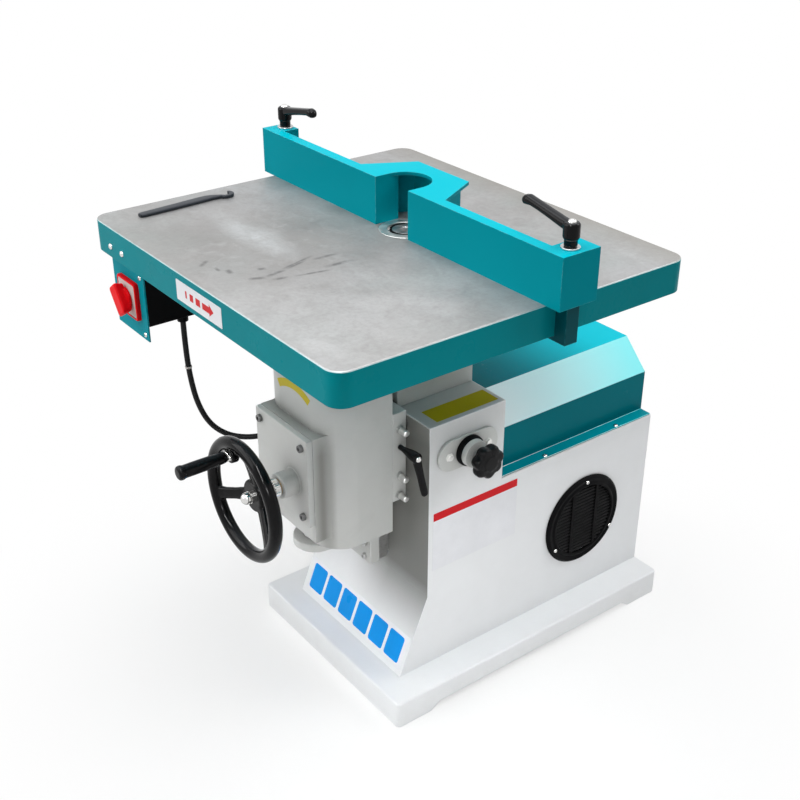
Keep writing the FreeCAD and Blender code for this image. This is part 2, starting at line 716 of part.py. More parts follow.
def motor():
    plate_top = "(deck_height - column_wall)"
    plate_under = "(deck_height - column_wall - motor_plate_thick)"
    inside = "column_width / 2 - column_wall"
    plate = box(
        "motor_plate_blank",
        (f"-({inside})", inside),
        ("motor_place - motor_plate_length / 2", "motor_place + motor_plate_length / 2"),
        (plate_under, plate_top),
    )
    shaft_hole = rod(
        "motor_plate_hole", "motor_shaft_radius + 6", "3 * motor_plate_thick",
        "0", "motor_place", f"{plate_under} - motor_plate_thick",
    )
    part("motor_plate", cut("motor_plate_cut", plate, shaft_hole))
    flange_under = f"({plate_under} - motor_flange_thick)"
    body = turned(
        "motor_case",
        (
            ("motor_shaft_radius + running_gap", "motor_bottom + 20"),
            ("motor_radius * 0.8", "motor_bottom + 20"),
            ("motor_radius * 0.8", "motor_bottom"),
            ("motor_radius", "motor_bottom + 8"),
            ("motor_radius", flange_under),
            ("motor_flange_radius", flange_under),
            ("motor_flange_radius", plate_under),
            ("motor_shaft_radius + running_gap", plate_under),
        ),
        "0", "motor_place", "0",
    )
    part("motor", body)
    bolts = [
        rod(
            f"motor_bolt_{angle}", "motor_bolt_radius * 1.6", "motor_bolt_radius",
            f"motor_bolt_circle * cos({angle} deg)",
            f"motor_place + motor_bolt_circle * sin({angle} deg)",
            plate_top,
        )
        for angle in (45, 135, 225, 315)
    ]
    part("motor_bolts", group("motor_bolt_set", *bolts))
    shaft_low = "motor_bottom + 30"
    part(
        "motor_shaft",
        rod("motor_shaft_bar", "motor_shaft_radius", f"belt_top + 20 - ({shaft_low})",
            "0", "motor_place", shaft_low),
    )
    wheel = pulley("motor_pulley_turn", "motor_pulley_radius", "motor_shaft_radius", "motor_place")
    part("motor_pulley", wheel)


def pulley(name, radius, shaft, y):
    """A rimmed pulley on a shaft, its groove as wide as the belt."""
    rim = f"({radius} + pulley_lip_reach)"
    low, high = "(belt_low - seat_gap)", "(belt_top + seat_gap)"
    return turned(
        name,
        (
            (shaft, f"{low} - pulley_lip"),
            (rim, f"{low} - pulley_lip"),
            (rim, low),
            (radius, low),
            (radius, high),
            (rim, high),
            (rim, f"{high} + pulley_lip"),
            (shaft, f"{high} + pulley_lip"),
        ),
        "0", y, "0",
    )


def drive_belt():
    """A flat belt: two arcs on the pulleys joined by tangent runs."""

    def loop(extra):
        small = size("spindle_pulley_radius + seat_gap") + extra
        large = size("motor_pulley_radius + seat_gap") + extra
        front, back = size("spindle_place"), size("motor_place")
        lean = math.asin((large - small) / (back - front))
        side = Vector(math.cos(lean), -math.sin(lean), 0)
        other = Vector(-math.cos(lean), -math.sin(lean), 0)
        spindle, motor_axis = Vector(0, front, 0), Vector(0, back, 0)
        corners = [motor_axis + side * large, motor_axis + other * large]
        corners += [spindle + other * small, spindle + side * small]
        edges = [
            Part.Arc(corners[0], motor_axis + Vector(0, large, 0), corners[1]),
            Part.LineSegment(corners[1], corners[2]),
            Part.Arc(corners[2], spindle - Vector(0, small, 0), corners[3]),
            Part.LineSegment(corners[3], corners[0]),
        ]
        face = Part.Face(Part.Wire([edge.toShape() for edge in edges]))
        return face.extrude(Vector(0, 0, size("belt_width")))

    belt = doc.addObject("Part::Feature", "belt_loop")
    belt.Shape = loop(size("belt_thick")).cut(loop(0))
    belt.Placement = Placement(Vector(0, 0, size("belt_low")), Rotation())
    part("drive_belt", belt)


def spindle():
    half = "housing_width / 2"
    block = box(
        "housing_block", ("-" + half, half), ("column_front", "box_back"), ("box_height", "housing_top")
    )
    bore = rod("housing_through", "housing_bore", "housing_top", "0", "spindle_place", "0")
    seats = [
        rod(f"housing_seat_{end}", "bearing_radius", "bearing_height + 1", "0", "spindle_place", low)
        for end, low in (("low", "box_height - 1"), ("high", "housing_top - bearing_height"))
    ]
    part("spindle_housing", cut("housing_casting", block, bore, *seats))
    bearings = [
        cut(
            f"bearing_{end}",
            rod(f"bearing_{end}_ring", "bearing_radius", "bearing_height", "0", "spindle_place", low),
            rod(f"bearing_{end}_bore", "spindle_radius + running_gap", "3 * bearing_height", "0",
                "spindle_place", f"{low} - bearing_height"),
        )
        for end, low in (("low", "box_height"), ("high", "housing_top - bearing_height"))
    ]
    part("spindle_bearings", group("bearing_pair", *bearings))
    shaft = turned(
        "spindle_turning",
        (
            ("0", "spindle_bottom"),
            ("spindle_radius", "spindle_bottom"),
            ("spindle_radius", "nose_top - nose_length"),
            ("nose_radius", "nose_top - nose_length"),
            ("nose_radius", "nose_top"),
            ("socket_radius", "nose_top"),
            ("socket_radius", "nose_top - socket_depth"),
            ("0", "nose_top - socket_depth"),
        ),
        "0", "spindle_place", "0",
    )
    part("spindle_shaft", shaft)
    nut = cut(
        "nose_nut_ring",
        rod("nose_nut_disc", "nose_nut_radius", "nose_nut_height", "0", "spindle_place",
            "nose_top - nose_nut_height"),
        rod("nose_nut_bore", "nose_radius", "3 * nose_nut_height", "0", "spindle_place",
            "nose_top - 2 * nose_nut_height"),
    )
    slots = [
        box(
            f"nose_nut_slot_{turn}",
            ("nose_radius + 1.5", "2 * nose_nut_radius"),
            ("-nose_nut_slot / 2", "nose_nut_slot / 2"),
            ("nose_top - nose_nut_height / 2", "nose_top + 1"),
        )
        for turn in range(4)
    ]
    for turn, slot in enumerate(slots):
        slot.Placement = Placement(Vector(), Rotation(Vector(0, 0, 1), 90 * turn + 45))
        across = f"cos({90 * turn + 45} deg)", f"sin({90 * turn + 45} deg)"
        reach, offset = "(nose_radius + 1.5)", "(nose_nut_slot / 2)"
        bind(slot, **{
            "Placement.Base.x": f"{reach} * {across[0]} + {offset} * {across[1]}",
            "Placement.Base.y": f"spindle_place + {reach} * {across[1]} - {offset} * {across[0]}",
            "Placement.Base.z": "nose_top - nose_nut_height / 2",
        })
    part("nose_nut", cut("nose_nut_slotted", nut, *slots))
    wheel = pulley("spindle_pulley_turn", "spindle_pulley_radius", "spindle_radius", "spindle_place")
    collar_low = "(lock_height - lock_collar_height / 2)"
    collar = cut(
        "lock_collar",
        rod("lock_collar_disc", "lock_collar_radius", "lock_collar_height", "0", "spindle_place", collar_low),
        rod("lock_collar_bore", "spindle_radius", "3 * lock_collar_height", "0", "spindle_place",
            f"{collar_low} - lock_collar_height"),
    )
    lock_hole = rod("lock_collar_hole", "plunger_radius + seat_gap", "lock_collar_radius",
                    "lock_collar_radius / 3", "lock_place", "lock_height", "+X")
    sleeve = cut(
        "lock_sleeve",
        rod("lock_sleeve_disc", "spindle_radius + 4", f"{collar_low} - belt_top + 1", "0", "spindle_place",
            "belt_top - 0.5"),
        rod("lock_sleeve_bore", "spindle_radius", "lock_height", "0", "spindle_place", "belt_top - 10"),
    )
    joined = fuse("spindle_pulley_hub", wheel, sleeve, collar)
    part("spindle_pulley", cut("spindle_pulley_drilled", joined, lock_hole))


def spindle_lock():
    face = "column_side"
    ends = [
        rod(f"lock_end_{n}", "lock_flange_radius", "lock_flange_thick", face,
            f"lock_place + {sign}lock_flange_reach", "lock_height", "+X")
        for n, (side, sign) in enumerate(SIDES)
    ]
    middle = box(
        "lock_flange_middle",
        (face, f"{face} + lock_flange_thick"),
        ("lock_place - lock_flange_reach", "lock_place + lock_flange_reach"),
        ("lock_height - lock_flange_radius", "lock_height + lock_flange_radius"),
    )
    boss = rod("lock_boss", "lock_boss_radius", "lock_flange_thick + lock_boss_length", face,
               "lock_place", "lock_height", "+X")
    bore = rod("lock_bore", "plunger_radius + running_gap", "column_width", face + " - 10",
               "lock_place", "lock_height", "+X")
    part("lock_flange", cut("lock_flange_cast", fuse("lock_flange_blank", *ends, middle, boss), bore))
    bolts = [
        rod(f"flange_bolt_{side}", "flange_bolt_radius", "5", f"{face} + lock_flange_thick",
            f"lock_place + {sign}flange_bolt_place", "lock_height", "+X")
        for side, sign in SIDES
    ]
    part("flange_bolts", group("flange_bolt_pair", *bolts))
    tip = "(lock_collar_radius + lock_travel + seat_gap)"
    knob_back = "(lock_face + lock_travel + seat_gap + knob_neck_length)"
    part(
        "lock_plunger",
        rod("lock_plunger_bar", "plunger_radius", f"{knob_back} - {tip}",
            tip, "lock_place", "lock_height", "+X"),
    )
    neck = rod("knob_neck", "knob_neck_radius", "knob_neck_length", f"{knob_back} - knob_neck_length",
               "lock_place", "lock_height", "+X")
    neck_bore = rod("knob_neck_bore", "plunger_radius", "knob_neck_length + 1",
                    f"{knob_back} - knob_neck_length - 1", "lock_place", "lock_height", "+X")
    disc = rod("knob_disc", "knob_radius - knob_lobe_radius / 2", "knob_thick", knob_back, "lock_place",
               "lock_height", "+X")
    lobes = [
        rod(
            f"knob_lobe_{n}", "knob_lobe_radius", "knob_thick", knob_back,
            f"lock_place + (knob_radius - knob_lobe_radius) * cos({n * 360 / 7} deg)",
            f"lock_height + (knob_radius - knob_lobe_radius) * sin({n * 360 / 7} deg)",
            "+X",
        )
        for n in range(7)
    ]
    part("star_knob", cut("knob_moulding", fuse("knob_blank", neck, disc, *lobes), neck_bore))


def slide_and_lift():
    wide, stem = "way_width / 2", "stem_width / 2"
    stem_front = "(column_front - stem_depth)"
    corners = (
        (f"-{stem}", "column_front"),
        (f"-{stem}", stem_front),
        (f"-{wide}", stem_front),
        (f"-{wide}", "way_front"),
        (wide, "way_front"),
        (wide, stem_front),
        (stem, stem_front),
        (stem, "column_front"),
    )
    part("slide_way", prism("slide_way_bar", "XY", corners, "way_bottom", "housing_top - way_bottom"))

    half = "lug_width / 2"
    block = box("lug_back", ("-" + half, half), ("way_front - lug_block", "way_front"),
                ("way_bottom", "lug_top"))
    arm = prism(
        "lug_arm",
        "XY",
        (
            ("-" + half, "way_front - lug_block"),
            ("-lug_radius", "screw_place"),
            ("lug_radius", "screw_place"),
            (half, "way_front - lug_block"),
        ),
        "lug_top - lug_thick",
        "lug_thick",
    )
    nose = rod("lug_nose", "lug_radius", "lug_thick", "0", "screw_place", "lug_top - lug_thick")
    hole = rod("lug_hole", "screw_radius", "4 * lug_thick", "0", "screw_place", "lug_top - 2 * lug_thick")
    part("lift_bracket", cut("lug_casting", fuse("lug_blank", block, arm, nose), hole))
    screws = [
        rod(f"lug_screw_{side}_{level}", "lug_screw_radius", "5", f"{sign}lug_screw_spread / 2",
            "way_front - lug_block", height, "-Y")
        for side, sign in SIDES
        for level, height in (("low", "way_bottom + 12"), ("high", "lug_top - lug_thick - 12"))
    ]
    part("bracket_screws", group("lug_screw_set", *screws))
    screw = turned(
        "lift_screw_turning",
        (
            ("0", "lug_top - lug_thick"),
            ("screw_radius", "lug_top - lug_thick"),
            ("screw_radius", "lug_top"),
            ("screw_collar_radius", "lug_top"),
            ("screw_collar_radius", "lug_top + screw_collar_height"),
            ("screw_radius", "lug_top + screw_collar_height"),
            ("screw_radius", "screw_top - 3"),
            ("screw_radius - 3", "screw_top"),
            ("0", "screw_top"),
        ),
        "0", "screw_place", "0",
    )
    part("lift_screw", screw)


def table():
    half = "table_width / 2"
    blank = box("table_blank", ("-" + half, half), ("table_front", "table_back"),
                ("rim_bottom", "table_height"))
    blank = rounded("table_corners", blank, "table_corner", upright)
    blank = rounded("table_edge", blank, "table_bevel", level_at("table_height"), "Part::Chamfer")
    inside = "table_width / 2 - table_wall"
    hollow = box(
        "table_hollow",
        (f"-({inside})", inside),
        ("rim_inside", "table_back - table_wall"),
        ("rim_bottom - 1", "table_under"),
    )
    hollow = rounded("table_hollow_corners", hollow, "table_corner - table_wall", upright)
    seat = rod("table_seat", "insert_radius", "insert_thick + 1", "0", "spindle_place",
               "table_height - insert_thick")
    hole = rod("table_hole", "insert_radius - 6", "table_rim", "0", "spindle_place", "rim_bottom")
    part("table", cut("table_casting", blank, hollow, seat, hole))
    ring = cut(
        "insert_ring",
        rod("insert_disc", "insert_radius", "insert_thick", "0", "spindle_place",
            "table_height - insert_thick"),
        rod("insert_hole", "insert_open", "3 * insert_thick", "0", "spindle_place",
            "table_height - 2 * insert_thick"),
    )
    part("table_insert", ring)


def headstock():
    half = "head_width / 2"
    blank = box("head_blank", ("-" + half, half), ("head_front", "head_back"), ("head_bottom", "table_under"))
    front = size("head_front")

    def front_corner(edge):
        return upright(edge) and edge.BoundBox.YMax < front + 1

    blank = rounded("head_corners", blank, "head_corner", front_corner)
    pad = box("head_pad", ("-pad_width / 2", "pad_width / 2"), ("pad_front", "head_front + head_corner"),
              ("pad_bottom", "pad_top"))
    inside = "head_width / 2 - head_wall"
    cavity_ends = ("head_front + head_wall", "head_back - head_wall")
    cavity_front = size(cavity_ends[0])

    def cavity_corner(edge):
        return upright(edge) and edge.BoundBox.YMax < cavity_front + 1

    cavities = [
        rounded(
            f"head_cavity_{name}",
            box(f"head_cavity_{name}_block", (f"-({inside})", inside), cavity_ends, span),
            "head_corner - head_wall",
            cavity_corner,
        )
        for name, span in (
            ("low", ("head_bottom - 1", "shelf_height - shelf_thick")),
            ("high", ("shelf_height", "table_under - head_top_web")),
        )
    ]
    window = box("head_window", ("-gear_window_width / 2", "gear_window_width / 2"),
                 ("pad_front - 1", cavity_ends[0] + " + head_corner"),
                 ("gear_window_low", "gear_window_high"))
    nut_hole = rod("head_nut_hole", "nut_hub_radius + running_gap", "3 * shelf_thick", "0", "screw_place",
                   "shelf_height - 2 * shelf_thick")
    nut_pocket = rod("head_nut_pocket", "nut_collar_radius + gear_pocket_gap", "gear_window_high - shelf_height",
                     "0", "screw_place", "shelf_height")
    solid = fuse("head_solid", blank, pad)
    side = size("pad_width / 2")
    pad_front = size("pad_front")

    def valley(edge):
        middle = edge.BoundBox.Center
        return upright(edge) and abs(abs(middle.x) - side) < 0.01 and middle.y > pad_front + 1

    solid = rounded("head_valleys", solid, "pad_valley", valley)
    part("headstock", cut("head_casting", solid, *cavities, window, nut_pocket, nut_hole))
    middle = f"(({cavity_ends[0]}) + ({cavity_ends[1]})) / 2"
    bolts = [
        rod(f"head_bolt_{side}_{n}", "table_bolt_radius", "table_bolt_head", f"{sign}table_bolt_spread / 2",
            f"{middle} + {shift}table_bolt_pitch / 2", "table_under - head_top_web - table_bolt_head")
        for side, sign in SIDES
        for n, shift in enumerate(("-", ""))
    ]
    part("headstock_bolts", group("head_bolt_set", *bolts))


def gear_cover():
    plate = box("cover_plate", ("-pad_width / 2", "pad_width / 2"), ("cover_front", "pad_front"),
                ("cover_bottom", "pad_top"))
    boss = rod("cover_boss", "boss_radius", "boss_length", "wheel_side", "boss_front", "wheel_height", "+Y")
    bore = rod("cover_bore", "bush_radius", "4 * boss_length", "wheel_side", "boss_front - boss_length",
               "wheel_height", "+Y")
    part("gear_cover", cut("cover_casting", fuse("cover_blank", plate, boss), bore))
    bolts = [
        rod(f"cover_bolt_{side}_{n}", "cover_bolt_radius", "cover_bolt_rise", f"{sign}cover_bolt_spread / 2",
            "cover_front", height, "-Y")
        for side, sign in SIDES
        for n, height in enumerate(("cover_bottom + cover_bolt_inset", "pad_top - cover_bolt_inset"))
    ]
    part("cover_bolts", group("cover_bolt_set", *bolts))
    bush = cut(
        "bush_ring",
        rod("bush_tube", "bush_radius", "boss_length + cover_thick", "wheel_side", "boss_front",
            "wheel_height", "+Y"),
        rod("bush_bore", "shaft_radius + running_gap", "4 * boss_length", "wheel_side",
            "boss_front - boss_length", "wheel_height", "+Y"),
    )
    part("shaft_bush", bush)


def gibs_and_clamp():
    inner, lip = "(way_width / 2 + slide_gap)", "(stem_width / 2 + slide_gap)"
    lip_front = "(column_front - stem_depth + slide_gap)"
    corners = (
        (inner, "head_back"),
        ("head_width / 2", "head_back"),
        ("head_width / 2", "gib_back"),
        (lip, "gib_back"),
        (lip, lip_front),
        (inner, lip_front),
    )
    gibs = [
        prism(f"gib_{side}", "XY", [(f"{sign}{across}", along) for across, along in corners],
              "gib_bottom", "gib_top - gib_bottom")
        for side, sign in SIDES
    ]
    part("slide_gibs", group("gib_pair", *gibs))
    face = "head_width / 2"
    heights = ("gib_bottom + 12", "gib_bottom + 52", "gib_top - 34")
    screws = []
    for n, height in enumerate(heights):
        nut = doc.addObject("Part::Prism", f"gib_nut_{n}")
        bind(nut, Circumradius="gib_nut_radius", Height="gib_nut_thick")
        place(nut, face, "gib_middle", height, "+X")
        end = rod(f"gib_screw_{n}", "gib_screw_radius", "gib_screw_length", face, "gib_middle", height, "+X")
        screws.append(fuse(f"gib_screw_and_nut_{n}", nut, end))
    part("gib_screws", group("gib_screw_set", *screws))

    end = f"({face} + clamp_reach)"
    stud = rod("clamp_stud", "clamp_stud_radius", "clamp_reach - seat_gap", f"{face} + seat_gap",
               "gib_middle", "clamp_height", "+X")
    hub = rod("clamp_hub", "clamp_hub_radius", "clamp_hub_length", f"{end} - clamp_hub_length", "gib_middle",
              "clamp_height", "+X")
    arm = prism(
        "clamp_arm_bar",
        "XY",
        (
            ("-clamp_arm_width / 2", "0"),
            ("clamp_arm_width / 2", "0"),
            ("clamp_arm_width * 0.4", "-clamp_arm"),
            ("-clamp_arm_width * 0.4", "-clamp_arm"),
        ),
        "0",
        "clamp_arm_thick",
    )
    turn_upright = Rotation(Vector(0, 1, 0), Vector(0, 0, 1), Vector(1, 0, 0), "XYZ")
    lean = Rotation(Vector(1, 0, 0), size("clamp_lean"))
    splay = Rotation(Vector(0, 1, 0), -size("clamp_splay"))
    arm.Placement = Placement(Vector(), splay.multiply(lean).multiply(turn_upright))
    bind(arm, **{
        "Placement.Base.x": f"{end} - clamp_arm_thick",
        "Placement.Base.y": "gib_middle",
        "Placement.Base.z": "clamp_height",
    })
    part("slide_clamp_lever", fuse("clamp_lever", stud, hub, arm))


def handwheel():
    x, z = "wheel_side", "wheel_height"
    rim = bind(doc.addObject("Part::Torus", "wheel_rim"), Radius1="wheel_radius", Radius2="rim_radius")
    place(rim, x, "wheel_middle", z, "+Y")
    disc = rod("wheel_hub", "hub_radius", "hub_thick", x, "hub_front", z, "+Y")
    nose = rod("wheel_nose", "hub_nose_radius", "hub_nose_length + 1", x, "hub_face - 1", z, "+Y")
    hub_middle = "(hub_front + hub_thick / 2)"
    spokes = []
    for angle in (200, 80, -40):
        spoke = prism(
            f"wheel_spoke_{angle % 360}",
            "XY",
            (
                ("hub_radius * 0.6", f"{hub_middle} - spoke_thick / 2"),
                ("wheel_radius", "wheel_middle - spoke_thick / 2"),
                ("wheel_radius", "wheel_middle + spoke_thick / 2"),
                ("hub_radius * 0.6", f"{hub_middle} + spoke_thick / 2"),
            ),
            "-spoke_width / 2",
            "spoke_width",
        )
        spoke.Placement = Placement(Vector(), Rotation(Vector(0, 1, 0), -angle))
        spokes.append(bind(spoke, **{"Placement.Base.x": x, "Placement.Base.z": z}))
    boss = rod("wheel_handle_boss", "handle_boss_radius", "handle_boss_rise + rim_radius", "handle_side",
               "handle_root", "handle_height", "+Y")
    bore = rod("wheel_bore", "shaft_radius", "9 * hub_thick", x, "hub_front - hub_thick", z, "+Y")
    pin_bore = rod("wheel_pin_bore", "handle_pin_radius", "6 * rim_radius", "handle_side",
                   "wheel_middle - 3 * rim_radius", "handle_height", "+Y")
    blank = fuse("wheel_blank", rim, disc, nose, *spokes, boss)
    part("handwheel", cut("wheel_casting", blank, bore, pin_bore))

    cap = turned(
        "dome_nut_turning",
        (
            ("0", "0"),
            ("cap_radius", "0"),
            ("cap_radius", "cap_length * 0.45"),
            ("cap_radius * 0.86", "cap_length * 0.72"),
            ("cap_radius * 0.5", "cap_length * 0.93"),
            ("0", "cap_length"),
        ),
        x, "hub_front", z, "-Y",
    )
    part("dome_nut", cap)
    collar = cut(
        "collar_ring",
        rod("collar_disc", "collar_radius", "collar_length", x, "hub_back", z, "+Y"),
        rod("collar_bore", "shaft_radius", "3 * collar_length", x, "hub_back - collar_length", z, "+Y"),
    )
    part("shaft_collar", collar)
    gear_front = "(screw_place - gear_face / 2)"
    part("wheel_shaft", rod("wheel_shaft_bar", "shaft_radius", f"{gear_front} + gear_face + 4 - hub_front", x,
                            "hub_front", z, "+Y"))
    gear = cut(
        "shaft_gear_ring",
        rod("shaft_gear_disc", "wheel_side - nut_gear_radius - seat_gap", "gear_face", x, gear_front, z, "+Y"),
        rod("shaft_gear_bore", "shaft_radius", "3 * gear_face", x, f"{gear_front} - gear_face", z, "+Y"),
    )
    part("shaft_gear", gear)
    handle()


def handle():
    x, z = "handle_side", "handle_height"
    grip_root = "(handle_root - handle_root_gap)"
    behind = "(wheel_middle + rim_radius)"
    pin = rod("handle_pin_bar", "handle_pin_radius",
              f"{behind} - {grip_root} + seat_gap + handle_length * 0.9", x, behind, z, "-Y")
    collar = rod("handle_pin_collar", "handle_collar_radius", "handle_root_gap", x, "handle_root", z, "-Y")
    part("handle_pin", fuse("handle_pin_turning", pin, collar))
    grip = turned(
        "grip_turning",
        (
            ("handle_pin_radius + running_gap", "seat_gap"),
            ("handle_root_radius", "seat_gap"),
            ("handle_end_radius - 1", "handle_length * 0.86"),
            ("handle_end_radius", "handle_length * 0.88"),
            ("handle_end_radius", "handle_length * 0.97"),
            ("handle_end_radius - 2", "handle_length"),
            ("0", "handle_length"),
            ("0", "handle_length * 0.9 + 2 * seat_gap"),
            ("handle_pin_radius + running_gap", "handle_length * 0.9 + 2 * seat_gap"),
        ),
        x, grip_root, z, "-Y",
    )
    part("handle_grip", grip)


def lift_nut():
    """A nut with a collar on the shelf, a hub through it and a gear level with the handwheel's shaft."""
    low = "(shelf_height + seat_gap)"
    bore = "screw_radius + running_gap"
    collar_top = f"({low} + nut_collar_height)"
    gear_low = "(wheel_height - gear_face / 2)"
    gear_top = f"({gear_low} + gear_face)"
    nut = turned(
        "nut_turning",
        (
            (bore, "shelf_height - shelf_thick"),
            ("nut_hub_radius", "shelf_height - shelf_thick"),
            ("nut_hub_radius", low),
            ("nut_collar_radius", low),
            ("nut_collar_radius", collar_top),
            ("nut_neck_radius", collar_top),
            ("nut_neck_radius", gear_low),
            ("nut_gear_radius", gear_low),
            ("nut_gear_radius", gear_top),
            (bore, gear_top),
        ),
        "0", "screw_place", "0",
    )
    part("lift_nut", nut)


def switch():
    bracket = box("bracket_plate", ("plate_left", "plate_right"), ("rim_inside", "bracket_back"),
                  ("plate_bottom", "plate_top"))
    stem_hole = rod("bracket_hole", "dial_stem_radius + 4", "10 * plate_thick", "dial_place",
                    "rim_inside - 5 * plate_thick", "dial_height", "+Y")
    part("switch_bracket", cut("bracket_drilled", bracket, stem_hole))
    bolts = [
        rod(f"bracket_bolt_{side}", "plate_bolt_radius", "plate_bolt_head",
            f"plate_bolt_place + {sign}plate_bolt_spread / 2", "table_front", "plate_bolt_height", "-Y")
        for side, sign in SIDES
    ]
    part("bracket_bolts", group("bracket_bolt_pair", *bolts))
    case = box("switch_case", ("box_left", "box_right"), ("bracket_back", "bracket_back + box_deep"),
               ("box_low", "box_high"))
    case_hole = rod("switch_case_hole", "dial_stem_radius + 2", "box_deep * 0.6", "dial_place",
                    "bracket_back", "dial_height", "+Y")
    case = rounded("switch_case_edges", case, "4", upright)
    part("switch_box", cut("switch_case_drilled", case, case_hole))
    half = "dial_side / 2"
    dial = box("dial_plate", (f"dial_place - {half}", f"dial_place + {half}"), ("dial_front", "rim_inside"),
               (f"dial_height - {half}", f"dial_height + {half}"))
    dial_hole = rod("dial_hole", "dial_stem_radius + running_gap", "4 * dial_thick", "dial_place",
                    "dial_front - dial_thick", "dial_height", "+Y")
    part("switch_plate", cut("dial_drilled", dial, dial_hole))
    heights = ("rim_bottom - 1.5 * plate_screw_inset", "plate_bottom + plate_screw_inset")
    screws = [
        rod(f"plate_screw_{n}", "plate_screw_radius", "plate_screw_head", "plate_right - plate_screw_inset",
            "rim_inside", height, "-Y")
        for n, height in enumerate(heights)
    ]
    part("switch_screws", group("plate_screw_pair", *screws))
    foot_front = "(dial_front - seat_gap - switch_knob_foot)"
    foot = rod("knob_foot", "switch_knob_disc", "switch_knob_foot", "dial_place", foot_front,
               "dial_height", "+Y")
    stem = rod("knob_stem", "dial_stem_radius", "dial_thick + box_deep / 2", "dial_place",
               "dial_front - seat_gap - 1", "dial_height", "+Y")
    wide, tall, corner = "switch_knob_width / 2", "switch_knob_tall / 2", "switch_knob_corner"
    quarter = (
        (f"({wide} - {corner})", f"({tall})"),
        (f"({wide})", f"({tall} - {corner})"),
    )
    mirrored = [(f"-{across}", up) for across, up in reversed(quarter)]
    ring = [*quarter]
    ring += [(across, f"-{up}") for across, up in reversed(quarter)]
    ring += [(across, f"-{up}") for across, up in reversed(mirrored)]
    ring += mirrored
    lean_cos, lean_sin = "cos(switch_knob_lean * 1 deg)", "sin(switch_knob_lean * 1 deg)"
    turned_ring = [
        (
            f"dial_place + {across} * {lean_cos} - {up} * {lean_sin}",
            f"dial_height + {across} * {lean_sin} + {up} * {lean_cos}",
        )
        for across, up in ring
    ]
    bar = prism("knob_bar", "XZ", turned_ring, f"{foot_front} - switch_knob_deep", "switch_knob_deep + 1")
    part("switch_knob", fuse("knob_mould", foot, stem, bar))


# The switch cord's route, from the box's gland down and round to the headstock's gland
CORD_ROUTE = (
    (-250, -330, 690),
    (-250, -330, 634),
    (-248, -327, 574),
    (-244, -319, 518),
    (-234, -303, 474),
    (-217, -279, 450),
    (-196, -251, 443),
    (-176, -225, 447),
    (-155, -206, 455),
    (-136, -200, 459),
    (-121, -200, 459),
)
BEND_SHARE = 0.45


def switch_cord():
    points = [Vector(*p) for p in CORD_ROUTE]
    edges = []
    start = points[0]
    length = 0
    for before, corner, after in zip(points, points[1:], points[2:]):
        into = (corner - before).normalize()
        out = (after - corner).normalize()
        half_turn = into.getAngle(out) / 2
        reach = BEND_SHARE * min((corner - before).Length, (after - corner).Length)
        radius = reach / math.tan(half_turn)
        print(f"cord bend radius {radius:.0f} mm")
        first, last = corner - into * reach, corner + out * reach
        centre_side = (out - into).normalize()
        middle = corner + centre_side * (radius / math.cos(half_turn) - radius)
        edges += [Part.LineSegment(start, first).toShape(), Part.Arc(first, middle, last).toShape()]
        length += (first - start).Length + 2 * half_turn * radius
        start = last
    edges.append(Part.LineSegment(start, points[-1]).toShape())
    length += (points[-1] - start).Length
    radius = size("cord_radius")
    path = Part.Wire(edges)
    section = Part.Wire(Part.makeCircle(radius, points[0], points[1] - points[0]))
    tube = path.makePipeShell([section], True, False)
    expected = math.pi * radius**2 * length
    print(f"cord length {length:.0f} mm, volume {tube.Volume / expected:.4f} of its section times length")
    cord = doc.addObject("Part::Feature", "cord_tube")
    cord.Shape = tube
    part("switch_cable", cord)
    glands = (
        ("switch_gland", points[0], points[0] - points[1], "-Z"),
        ("headstock_gland", points[-1], points[-1] - points[-2], "-X"),
    )
    for label, end, inward, axis in glands:
        inward.normalize()
        wall = end + inward * size("gland_length")
        body = rod(f"{label}_body", "gland_radius", "gland_length", wall.x, wall.y, wall.z, axis)
        flange = rod(f"{label}_flange", "gland_flange", "gland_flange_thick", wall.x, wall.y, wall.z, axis)
        part(label, fuse(f"{label}_moulding", body, flange))


